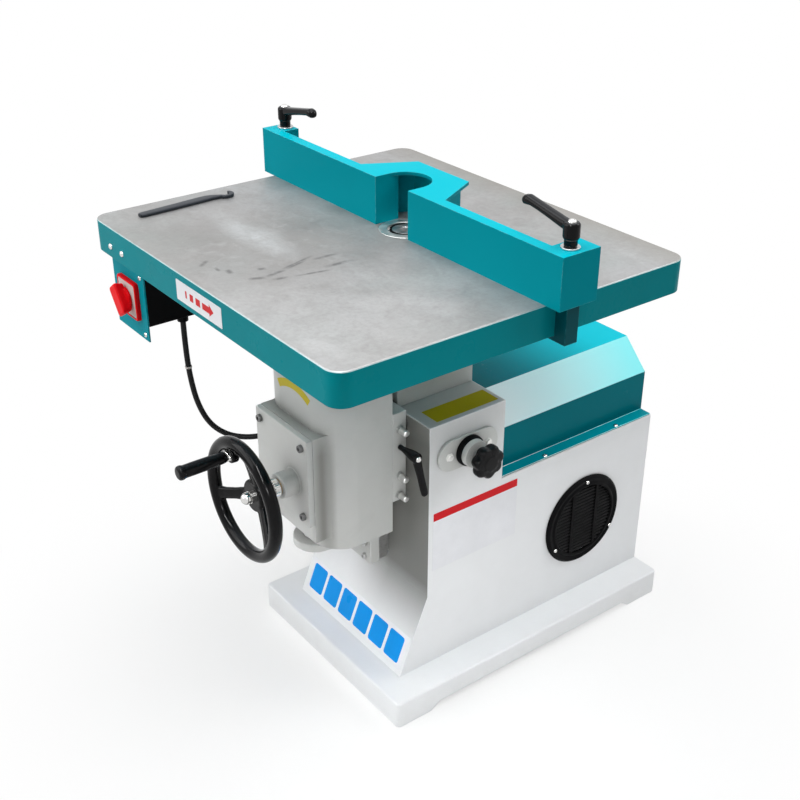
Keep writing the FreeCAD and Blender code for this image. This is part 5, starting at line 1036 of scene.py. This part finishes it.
def repeat_tree(name, *inputs):
    """Node tree that puts a model on every point; also its maker of nodes, links, inputs and repeat node."""
    tree = bpy.data.node_groups.new(name, "GeometryNodeTree")
    tree.interface.new_socket("Geometry", in_out="OUTPUT", socket_type="NodeSocketGeometry")
    for socket, kind in (("Points", "Geometry"), ("Model", "Object"), *inputs, ("Finish", "Material")):
        tree.interface.new_socket(socket, in_out="INPUT", socket_type=f"NodeSocket{kind}")
    add, link = tree.nodes.new, tree.links.new
    given, made = add("NodeGroupInput"), add("NodeGroupOutput")
    model, repeat = add("GeometryNodeObjectInfo"), add("GeometryNodeInstanceOnPoints")
    real, coat = add("GeometryNodeRealizeInstances"), add("GeometryNodeSetMaterial")
    link(given.outputs["Model"], model.inputs["Object"])
    link(given.outputs["Points"], repeat.inputs["Points"])
    link(model.outputs["Geometry"], repeat.inputs["Instance"])
    link(repeat.outputs["Instances"], real.inputs["Geometry"])
    link(real.outputs["Geometry"], coat.inputs["Geometry"])
    link(given.outputs["Finish"], coat.inputs["Material"])
    link(coat.outputs["Geometry"], made.inputs["Geometry"])
    return tree, add, link, given, repeat


def slat_tree():
    """Node tree that lays a slat across every point, as long as the point's own chord."""
    tree, add, link, given, repeat = repeat_tree("Slats", ("Depth", "Float"), ("Height", "Float"))
    chord = add("GeometryNodeInputNamedAttribute")
    chord.data_type = "FLOAT"
    chord.inputs["Name"].default_value = "chord"
    size = add("ShaderNodeCombineXYZ")
    link(given.outputs["Depth"], size.inputs["X"])
    link(chord.outputs["Attribute"], size.inputs["Y"])
    link(given.outputs["Height"], size.inputs["Z"])
    link(size.outputs["Vector"], repeat.inputs["Scale"])
    return tree


def fastener_tree():
    """Node tree that stands a head on every point, turned by chance about its axis."""
    tree, add, link, given, repeat = repeat_tree(
        "Fasteners", ("Radius", "Float"), ("Axis", "Vector"), ("Seed", "Int"))
    align = add("FunctionNodeAlignRotationToVector")
    align.axis = "Z"
    link(given.outputs["Axis"], align.inputs["Vector"])
    chance = add("FunctionNodeRandomValue")
    chance.data_type = "FLOAT"
    next(s for s in chance.inputs if s.name == "Max" and s.type == "VALUE").default_value = math.tau
    link(given.outputs["Seed"], chance.inputs["Seed"])
    spin = add("ShaderNodeCombineXYZ")
    link(next(s for s in chance.outputs if s.type == "VALUE"), spin.inputs["Z"])
    turn = add("FunctionNodeEulerToRotation")
    link(spin.outputs["Vector"], turn.inputs["Euler"])
    rotate = add("FunctionNodeRotateRotation")
    rotate.rotation_space = "LOCAL"
    link(align.outputs["Rotation"], rotate.inputs["Rotation"])
    link(turn.outputs["Rotation"], rotate.inputs["Rotate By"])
    link(rotate.outputs["Rotation"], repeat.inputs["Rotation"])
    link(given.outputs["Radius"], repeat.inputs["Scale"])
    return tree


def points_of(name, points):
    """A piece that is only points, for a node tree to dress."""
    mesh = bpy.data.meshes.new(name)
    mesh.from_pydata([tuple(p) for p in points], [], [])
    return add_object(name, mesh)


def repeated(piece, tree, finish, **values):
    """Puts the tree's model on each point of the piece, in one finish."""
    modifier = piece.modifiers.new(tree.name, "NODES")
    modifier.node_group = tree
    values["Finish"] = FINISHES[finish]
    for item in tree.interface.items_tree:
        if item.in_out == "INPUT" and item.name in values:
            modifier[item.identifier] = values[item.name]
    baked(piece)
    if not piece.data.polygons:
        raise RuntimeError(f"nothing was repeated for {piece.name}")
    coated(piece.data, FINISHES[finish])
    return piece


class MOULDER_OT_vent(bpy.types.Operator):
    """Moulds the round vent's ring and posts and lays its slats with one node tree"""

    bl_idname = "moulder.vent"
    bl_label = "Vent"

    def execute(self, context):
        low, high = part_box("vent_grille")
        centre = middle_of("vent_grille")
        wall, front, radius = low[0], high[0], (high[2] - low[2]) / 2
        opening, overlap = radius * 0.775, 0.001
        ring = bmesh.new()
        hoop(ring, softened([
            (opening, wall + 0.0002), (radius - 0.0004, wall + 0.0002), (radius - 0.0004, wall + 0.0030),
            (radius - 0.0060, front - 0.0004), (radius - 0.0130, front - 0.0024),
            (opening + 0.0070, front - 0.0024), (opening + 0.0045, front - 0.0004),
            (opening + 0.0008, front - 0.0004), (opening, front - 0.0030),
            (opening, wall + 0.0002)], 0.0016), (0, centre.y, centre.z), X, 112)
        for shift in (-0.032, 0.032):
            tall = math.sqrt(opening ** 2 - shift ** 2) + overlap
            slab(ring, oblong(0.0032, tall), (wall, centre.y + shift, centre.z), Y, Z,
                 0.0012, front - wall - 0.0014, 0.0008)
        fit(bare_object("vent_ring", ring, "black_matte"), "frame", "black_matte", "vent_grille")

        slat = bmesh.new()
        outline = softened([(0.0, -0.5), (0.5, -0.32), (0.5, 0.02), (-0.38, 0.5), (-0.5, 0.5), (-0.5, 0.24),
                            (0.0, -0.5)], 0.08, 3)[:-1]
        loft(slat, [[Vector((p.x, y, p.y)) for p in outline] for y in (-0.5, 0.5)])
        blade = bare_object("vent_slat", slat, "black_plastic")
        count = settings().controls.vent_slats
        pitch = 2 * opening / (count + 1)
        heights = [-opening + pitch * (n + 1) for n in range(count)]
        middle = (wall + front) / 2 - 0.0008
        slats = points_of("vent_slats", [(middle, centre.y, centre.z + h) for h in heights])
        chords = slats.data.attributes.new("chord", "FLOAT", "POINT")
        for n, h in enumerate(heights):
            chords.data[n].value = 2 * math.sqrt(opening ** 2 - h ** 2) + overlap
        repeated(slats, slat_tree(), "vent_plastic", Model=blade, Depth=0.0046, Height=pitch * 0.62)
        bpy.data.objects.remove(blade)
        fit(slats, "frame", "black_matte")
        return {"FINISHED"}


def frame_axis(joint):
    """Front-to-back place and height of a joint that turns about X."""
    for entry in frame["record"]["behaviour"]["joints"]:
        if entry["name"] == joint:
            return entry["pos_m"][1], entry["pos_m"][2]
    raise KeyError(joint)


class MOULDER_OT_spanner(bpy.types.Operator):
    """Forges the hook spanner that lies on the table"""

    bl_idname = "moulder.spanner"
    bl_label = "Spanner"

    def execute(self, context):
        low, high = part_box("hook_spanner")
        level, thick = (low[2] + high[2]) / 2, (high[2] - low[2]) / 2 - 0.0001
        left, front, bend = low[0] + 0.0151, low[1], Vector((low[0] + 0.0110, high[1] - 0.0170))
        stations = [(left + 0.0050, front + 0.0006, 0.0044), (left + 0.0048, front + 0.0030, 0.0072),
                    (left + 0.0044, front + 0.0080, 0.0086), (left + 0.0004, front + 0.070, 0.0096),
                    (left - 0.0040, front + 0.128, 0.0106), (left - 0.0044, front + 0.140, 0.0102),
                    (left - 0.0036, front + 0.1500, 0.0082), (left + 0.0002, front + 0.1600, 0.0058)]
        for degrees in (-62, -40, -15, 12, 40, 68, 95, 116, 126):
            angle = math.radians(degrees)
            stations.append((bend.x + 0.0125 * math.cos(angle), bend.y + 0.0125 * math.sin(angle),
                             0.0044 if degrees < 110 else 0.0036 if degrees < 120 else 0.0018))
        forging = bmesh.new()
        sections = []
        for n, (x, y, half) in enumerate(stations):
            before, after = stations[max(n - 1, 0)], stations[min(n + 1, len(stations) - 1)]
            along = Vector((after[0] - before[0], after[1] - before[1], 0)).normalized()
            sections.append(squared(Vector((x, y, level)), along.cross(Z), Z, half, thick, 0.5, 28))
        loft(forging, sections)
        piece = bare_object("hook_spanner_forged", forging, "blued_steel")
        fit(piece, "hook_spanner", "black_iron", "hook_spanner")
        return {"FINISHED"}


class MOULDER_OT_lock(bpy.types.Operator):
    """Moulds the spindle lock's star knob and fits its seal ring"""

    bl_idname = "moulder.lock"
    bl_label = "Spindle lock"

    def execute(self, context):
        lobes = settings().controls.knob_lobes
        low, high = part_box("star_knob")
        _, y, z = middle_of("lock_plunger")
        radius = (high[2] - low[2]) / 2

        def star(angle, reach):
            if reach < radius * 0.45:
                return reach
            wave = 0.5 + 0.5 * math.cos(lobes * angle)
            return reach * (0.865 + 0.135 * wave ** 0.75)

        depth = high[0] - low[0]
        turned("star_knob_moulded", softened([
            (0.0082, 0.0), (radius * 0.40, 0.0), (radius * 0.42, depth * 0.16), (radius * 0.93, depth * 0.22),
            (radius * 0.995, depth * 0.40), (radius * 0.995, depth * 0.78), (radius * 0.88, depth * 0.93),
            (radius * 0.55, depth * 0.955), (radius * 0.44, depth * 0.99), (0.0, depth)], 0.0034, 5),
            (low[0], y, z), X, lobes * 20, "black_plastic", "spindle_lock", "black_plastic", "star_knob",
            smooth=50, ripple=star)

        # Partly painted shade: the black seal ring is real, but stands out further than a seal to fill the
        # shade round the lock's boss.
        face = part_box("lock_flange")[0][0] + 0.006
        ring = bmesh.new()
        hoop(ring, softened([(0.0258, face + 0.011), (0.0258, face - 0.0002), (0.0296, face - 0.0002),
                             (0.0296, face + 0.0060), (0.0280, face + 0.0105), (0.0258, face + 0.011)], 0.0012),
             (0, y, z), X, 64)
        fit(bare_object("lock_seal_ring", ring, "black_matte"), "frame", "black_matte")
        return {"FINISHED"}


class MOULDER_OT_switch(bpy.types.Operator):
    """Moulds the rotary switch's red frame, pale plate and bar knob"""

    bl_idname = "moulder.switch"
    bl_label = "Switch"

    def execute(self, context):
        low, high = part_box("switch_plate")
        centre_x, centre_z = (low[0] + high[0]) / 2, (low[2] + high[2]) / 2
        half, depth = (high[0] - low[0]) / 2, high[1] - low[1]

        def ring(outline, level):
            return [Vector((centre_x + p.x, level, centre_z + p.y)) for p in outline]

        def square(inset, level, corner=0.006):
            reach = half - inset
            return ring(eased(oblong(reach, reach), corner), high[1] - level)

        base = bmesh.new()
        loft(base, [square(0.0, 0.0), square(0.0, depth * 0.70), square(0.0006, depth * 0.92),
                    square(0.0018, depth), square(0.0036, depth), square(0.0042, depth - 0.0014)])
        fit(bare_object("switch_frame_red", base, "red_plastic"), "table_unit", "red_plastic", "switch_plate")
        face = bmesh.new()
        loft(face, [square(0.0044, depth - 0.003, 0.004), square(0.0044, depth - 0.0008, 0.004),
                    square(0.0054, depth - 0.0003, 0.004)])
        fit(bare_object("switch_face_pale", face, "grey_plastic"), "table_unit", "grey_plastic")

        foot, front, stem_end = low[1] - 0.0003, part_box("switch_knob")[0][1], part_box("switch_knob")[1][1]
        knob = bmesh.new()
        skirt = softened([(0.0, -foot), (0.0208, -foot), (0.0208, -foot + 0.0045), (0.0190, -foot + 0.0064),
                          (0.0, -foot + 0.0064)], 0.0015)
        lathe(knob, skirt, (centre_x, 0, centre_z), -Y, 56)
        lean = Matrix.Rotation(math.radians(36), 2)
        length, width = 0.0279, 0.0154

        def bar(level, wide, tall):
            return ring([lean @ p for p in eased(oblong(width * wide, length * tall), 0.0060)], level)

        loft(knob, [bar(foot - 0.003, 0.90, 0.90), bar(foot - 0.009, 0.93, 0.94),
                    bar(front + 0.006, 0.99, 0.99), bar(front + 0.0028, 1.0, 1.0),
                    bar(front + 0.0008, 0.95, 0.97), bar(front + 0.0001, 0.82, 0.90)])
        moulded = melted(bare_object("switch_knob_moulded", knob, "red_plastic"), FINE_VOXEL, 3)
        fit(moulded, "switch_knob", "red_plastic")
        stem_foot = foot - 0.002
        turned("switch_stem", [(0.0, stem_foot), (0.0088, stem_foot), (0.0088, stem_end), (0.0, stem_end)],
               (centre_x, 0, centre_z), Y, 28, "black_matte", "switch_knob", "red_plastic", "switch_knob")
        return {"FINISHED"}


HEX_FLANGE = 1.24


def screw_head(points, rounding, recess=None, depth=0.0, outer=None):
    """A head of unit radius standing on z = 0; recess shapes the pocket in its top, outer its sides."""
    bm = bmesh.new()
    turns = [math.tau * n / 48 for n in range(48)]

    def ring(reach, level):
        return [bm.verts.new((reach(a) * math.cos(a), reach(a) * math.sin(a), level)) for a in turns]

    rings = []
    for radius, level in softened(points, rounding, 4):
        shaped = outer if outer and radius > 0.8 else (lambda a: 1)
        rings.append(ring(lambda a: radius * shaped(a), level))
    if recess:
        top = points[-1][1]
        rings += [ring(recess, level) for level in (top, top - depth)]
    join_rings(bm, rings)
    bm.faces.new(rings[0])
    bm.faces.new(rings[-1])
    return bm


def hexagon(size):
    return lambda angle: size * math.cos(math.pi / 6) / math.cos((angle % (math.pi / 3)) - math.pi / 6)


def cross(long, short):
    def reach(angle):
        turn = (angle + math.pi / 4) % (math.pi / 2) - math.pi / 4
        return long if abs(turn) < 0.30 else short + (long - short) * max(0.0, 0.45 - abs(turn)) / 0.30
    return reach


def make_heads():
    """Screw heads and nuts of unit radius that the fastener tree repeats."""
    shapes = {
        "pan": screw_head([(1.0, 0.0), (1.0, 0.26), (0.80, 0.55), (0.55, 0.66)], 0.2, cross(0.5, 0.15), 0.3),
        "socket": screw_head([(1.0, 0.0), (1.0, 0.78), (0.92, 0.9), (0.72, 0.9)], 0.1, hexagon(0.55), 0.5),
        "dome": screw_head([(1.0, 0.0), (1.0, 0.12), (0.86, 0.42), (0.5, 0.62), (0.12, 0.68)], 0.25),
        "hex": screw_head([(HEX_FLANGE, 0.0), (HEX_FLANGE, 0.16), (0.95, 0.17), (0.95, 0.70), (0.84, 0.80),
                           (0.3, 0.80)], 0.05, outer=hexagon(1.08)),
    }
    return {name: bpy.data.objects.new(f"head_{name}", shaded_mesh(f"head_{name}", bm, 35))
            for name, bm in shapes.items()}


def stand_heads(tree, name, head, points, radius, axis, finish, seed):
    """One mesh of heads on the given points."""
    return repeated(points_of(name, points), tree, finish,
                    Model=head, Radius=radius, Axis=tuple(axis), Seed=seed)


class MOULDER_OT_fasteners(bpy.types.Operator):
    """Stands screws, bolts and nuts on their seats with one node tree"""

    bl_idname = "moulder.fasteners"
    bl_label = "Fasteners"

    def execute(self, context):
        tree, heads = fastener_tree(), make_heads()
        sets = (
            ("hood_screws", "pan", Z, "chrome", "frame", "chrome"),
            ("grille_screws", "pan", X, "chrome", "frame", "steel"),
            ("flange_bolts", "hex", X, "pale_steel", "frame", "steel"),
            ("bracket_screws", "socket", -Y, "steel", "frame", "steel"),
            ("cover_bolts", "socket", -Y, "dull_steel", "table_unit", "steel"),
            ("bracket_bolts", "dome", -Y, "chrome", "table_unit", "chrome"),
            ("switch_screws", "pan", -Y, "chrome", "table_unit", "chrome"),
        )
        for seed, (node, head, axis, finish, body, slot) in enumerate(sets):
            points, radius = [], 0.0
            for low, high in solids_of(node):
                centre = (low + high) / 2
                reach = [high[i] - low[i] for i in range(3) if abs(axis[i]) < 0.5]
                radius = min(reach) / 2
                along = next(i for i in range(3) if abs(axis[i]) > 0.5)
                centre[along] = low[along] if axis[along] > 0 else high[along]
                points.append(centre)
            if head == "hex":
                radius /= HEX_FLANGE
            piece = stand_heads(tree, f"{node}_heads", heads[head], points, radius, axis, finish, seed)
            fit(piece, body, slot, node)

        nuts = []
        for low, high in solids_of("gib_screws"):
            nuts.append(Vector((low[0], (low[1] + high[1]) / 2, (low[2] + high[2]) / 2)))
            length = high[0] - low[0]
        nut_radius, nut_seed = 0.0070, 11
        piece = stand_heads(tree, "gib_nuts", heads["hex"], nuts, nut_radius, X, "grey_paint", nut_seed)
        fit(piece, "table_unit", "steel", "gib_screws")
        studs = bmesh.new()
        stud = softened([(0.0, 0.003), (0.0062, 0.003), (0.0062, length - 0.0018), (0.0046, length - 0.0002),
                         (0.0, length - 0.0002)], 0.0008)
        for nut in nuts:
            lathe(studs, stud, nut, X, 32)
        fit(bare_object("gib_studs", studs, "pale_steel"), "table_unit", "steel")
        return {"FINISHED"}


# How far a film sinks into its seat, and a print into its film
FILM_OVERLAP = 0.0002


def panel(left, bottom, right, top):
    return [(left, bottom), (right, bottom), (right, top), (left, top)]


class MOULDER_OT_plates(bpy.types.Operator):
    """Lays the arrow sign and the plain plates and strips on the machine"""

    bl_idname = "moulder.plates"
    bl_label = "Plates"

    def lay(self, name, body, origin, across, up, sheet, *prints, thick=0.0004):
        """A film of (outline, corner radius, finish) on a plane, and the prints on it."""
        bm = bmesh.new()
        finishes = list(dict.fromkeys(finish for _, _, finish in (sheet, *prints)))
        for n, (outline, radius, finish) in enumerate((sheet, *prints)):
            low, high = (thick - FILM_OVERLAP, thick + FILM_OVERLAP) if n else (-FILM_OVERLAP, thick)
            slab(bm, outline, origin, across, up, low, high, radius, finishes.index(finish))
        piece = bare_object(name, bm, finishes[0])
        for finish in finishes[1:]:
            piece.data.materials.append(FINISHES[finish])
        fit(piece, body, "white_paint" if finishes[0] == "white_film" else "grey_plastic")

    def execute(self, context):
        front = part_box("table")[0][1]
        arrow = [(0.084, 0.0120), (0.106, 0.0120), (0.106, 0.0075), (0.1190, 0.0175), (0.106, 0.0275),
                 (0.106, 0.0230), (0.084, 0.0230)]
        bars = [panel(left, 0.0115, right, 0.0235)
                for left, right in ((0.0295, 0.0340), (0.0440, 0.0550), (0.0630, 0.0770))]
        self.lay("arrow_sign", "table_unit", (-0.068, front, 0.822), X, Z,
                 (panel(0, 0, 0.144, 0.035), 0.002, "white_film"),
                 *((outline, 0, "red_film") for outline in (*bars, arrow)), thick=0.0005)
        side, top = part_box("column")[1][0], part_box("column")[1][2]
        self.lay("side_plate", "frame", (side, -0.0815, 0.2705), Y, Z,
                 (panel(0, 0, 0.201, 0.1255), 0.0012, "white_film"),
                 (panel(0.0006, 0.1085, 0.2004, 0.1249), 0, "red_film"))
        self.lay("top_strip", "frame", (0.113, -0.068, top), X, Y,
                 (panel(0, 0, 0.044, 0.140), 0.0015, "strip_film"))
        toe, crease = Vector((0, -0.156, 0.057)), Vector((0, -0.092, 0.215))
        slope = (crease - toe).normalized()
        lefts = [0.008 + 0.0515 * n for n in range(6)]
        self.lay("toe_plate", "frame", toe + slope * 0.010 + X * -0.159, X, slope,
                 (panel(0, 0, 0.322, 0.070), 0.002, "white_film"),
                 *((panel(left, 0.008, left + 0.0440, 0.062), 0.006, "blue_film") for left in lefts))

        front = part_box("headstock")[0][1] + 0.018
        turns = [math.radians(59 + 62 * n / 24) for n in range(25)]
        outer, inner = ([(radius * math.cos(turn), radius * math.sin(turn)) for turn in turns]
                        for radius in (0.1000, 0.0850))
        self.lay("arc_sticker", "table_unit", (0.0, front, 0.5475), X, Z,
                 (outer + inner[::-1], 0, "yellow_film"))
        return {"FINISHED"}


WHITE = (1.0, 1.0, 1.0, 1.0)


class MOULDER_OT_stage(bpy.types.Operator):
    """Sets the pale floor, the soft lamps, the white room and the camera"""

    bl_idname = "moulder.stage"
    bl_label = "Stage"

    def lamp(self, name, place, target, power, wide, tall, spread=180.0):
        light = bpy.data.lights.new(name, "AREA")
        light.shape = "RECTANGLE"
        light.size, light.size_y = wide, tall
        light.energy = power
        light.spread = math.radians(spread)
        lamp = add_object(name, light)
        lamp.location = place
        lamp.rotation_euler = (Vector(target) - Vector(place)).to_track_quat("-Z", "Y").to_euler()
        return lamp

    def seen_rays(self, tree):
        """1 for rays that show the backdrop, straight or in metal and glass."""
        path = tree.nodes.new("ShaderNodeLightPath")
        rays = path.outputs["Is Camera Ray"]
        for ray in ("Is Glossy Ray", "Is Transmission Ray"):
            either = tree.nodes.new("ShaderNodeMath")
            either.operation = "MAXIMUM"
            tree.links.new(rays, either.inputs[0])
            tree.links.new(path.outputs[ray], either.inputs[1])
            rays = either.outputs["Value"]
        return rays

    def blend(self, tree, factor, near, far, output):
        """Shows far in place of near by a factor."""
        both = tree.nodes.new("ShaderNodeMixShader")
        for socket, source in zip(both.inputs, (factor, near, far)):
            tree.links.new(source, socket)
        tree.links.new(both.outputs["Shader"], tree.nodes[output].inputs["Surface"])

    def execute(self, context):
        scene, light = context.scene, settings().light
        scene.view_settings.view_transform = "Standard"
        ground = bmesh.new()
        bmesh.ops.create_grid(ground, x_segments=1, y_segments=1, size=30.0)
        mesh = bpy.data.meshes.new("floor")
        ground.to_mesh(mesh)
        ground.free()
        floor = add_object("floor", mesh)
        pale = Finish("pale_floor", 0.9, Specular_IOR_Level=0.0)
        pale.colour(pale.mix(pale.noise(0.8, 3.0), (0.93, 0.93, 0.93), (0.96, 0.96, 0.96)))
        floor.data.materials.append(pale.material)
        tree = pale.tree
        away = pale.add("ShaderNodeVectorMath", {"Vector": pale.place}, operation="LENGTH").outputs["Value"]
        white = pale.add("ShaderNodeEmission", {"Color": WHITE, "Strength": 1.0})
        far = pale.times(pale.span(away, 0.3, 0.95, 0.42, 1.0), self.seen_rays(tree))
        self.blend(tree, far, pale.shader.outputs["BSDF"], white.outputs["Emission"], "Material Output")

        world = bpy.data.worlds.new("white_room")
        scene.world = world
        world.use_nodes = True
        tree = world.node_tree
        even = tree.nodes["Background"]
        even.inputs["Color"].default_value = WHITE
        even.inputs["Strength"].default_value = light.sky
        seen = tree.nodes.new("ShaderNodeBackground")
        seen.inputs["Color"].default_value = WHITE
        seen.inputs["Strength"].default_value = 1.0
        near, far = even.outputs["Background"], seen.outputs["Background"]
        self.blend(tree, self.seen_rays(tree), near, far, "World Output")

        self.lamp("key_lamp", (-1.7, -2.7, 2.6), (0, 0, 0.5), light.key, 3.0, 3.0)
        self.lamp("top_lamp", (0.1, -0.1, 3.4), (0, 0, 0.6), light.top, 2.6, 2.6)
        self.lamp("rear_lamp", (1.25, 2.25, 2.65), (0.13, 0.28, 0.5), light.rear, 1.3, 1.3)
        self.lamp("low_lamp", (1.55, -1.15, 1.5), (0.10, 0.06, -0.03), light.low, 0.4, 0.4, 34.0)
        strip = self.lamp("strip_lamp", (0.9, -1.3, 2.7), (0, -0.1, 0.6), light.strip, 0.16, 1.8)
        strip.visible_diffuse = False

        camera = bpy.data.cameras.new("photo_camera")
        camera.lens = light.lens
        camera.sensor_width = 36.0
        camera.sensor_fit = "HORIZONTAL"
        eye = add_object("photo_camera", camera)
        place, target = Vector((1.5490, -1.1999, 1.6025)), Vector((0.0228, -0.0466, 0.5529))
        look = (target - place).to_track_quat("-Z", "Y").to_matrix()
        roll = Matrix.Rotation(math.radians(0.13), 3, "Z")
        eye.matrix_world = Matrix.Translation(place) @ (look @ roll).to_4x4()
        scene.camera = eye
        return {"FINISHED"}


class MOULDER_PT_panel(bpy.types.Panel):
    """Lists the steps that dress the machine"""

    bl_idname = "MOULDER_PT_panel"
    bl_label = "Spindle moulder"
    bl_space_type = "VIEW_3D"
    bl_region_type = "UI"
    bl_category = "Moulder"

    def draw(self, context):
        layout = self.layout
        for operator in OPERATORS:
            layout.operator(operator.bl_idname)
        for group in (settings().paint, settings().controls, settings().light):
            column = layout.column()
            for name in group.__annotations__:
                column.prop(group, name)


OPERATORS = (
    MOULDER_OT_stage, MOULDER_OT_castings, MOULDER_OT_cord, MOULDER_OT_handwheel, MOULDER_OT_levers,
    MOULDER_OT_vent, MOULDER_OT_spanner, MOULDER_OT_lock, MOULDER_OT_switch, MOULDER_OT_fasteners,
    MOULDER_OT_plates,
)
CLASSES = (PaintColours, ControlSizes, StageLight, MoulderSettings, *OPERATORS, MOULDER_PT_panel)


def register():
    for cls in CLASSES:
        bpy.utils.register_class(cls)
    bpy.types.Scene.spindle_moulder = PointerProperty(type=MoulderSettings)


def unregister():
    del bpy.types.Scene.spindle_moulder
    for cls in reversed(CLASSES):
        bpy.utils.unregister_class(cls)


def main():
    register()
    for operator in OPERATORS:
        group, name = operator.bl_idname.split(".")
        getattr(getattr(bpy.ops, group), name)()


if __name__ == "__main__":
    main()
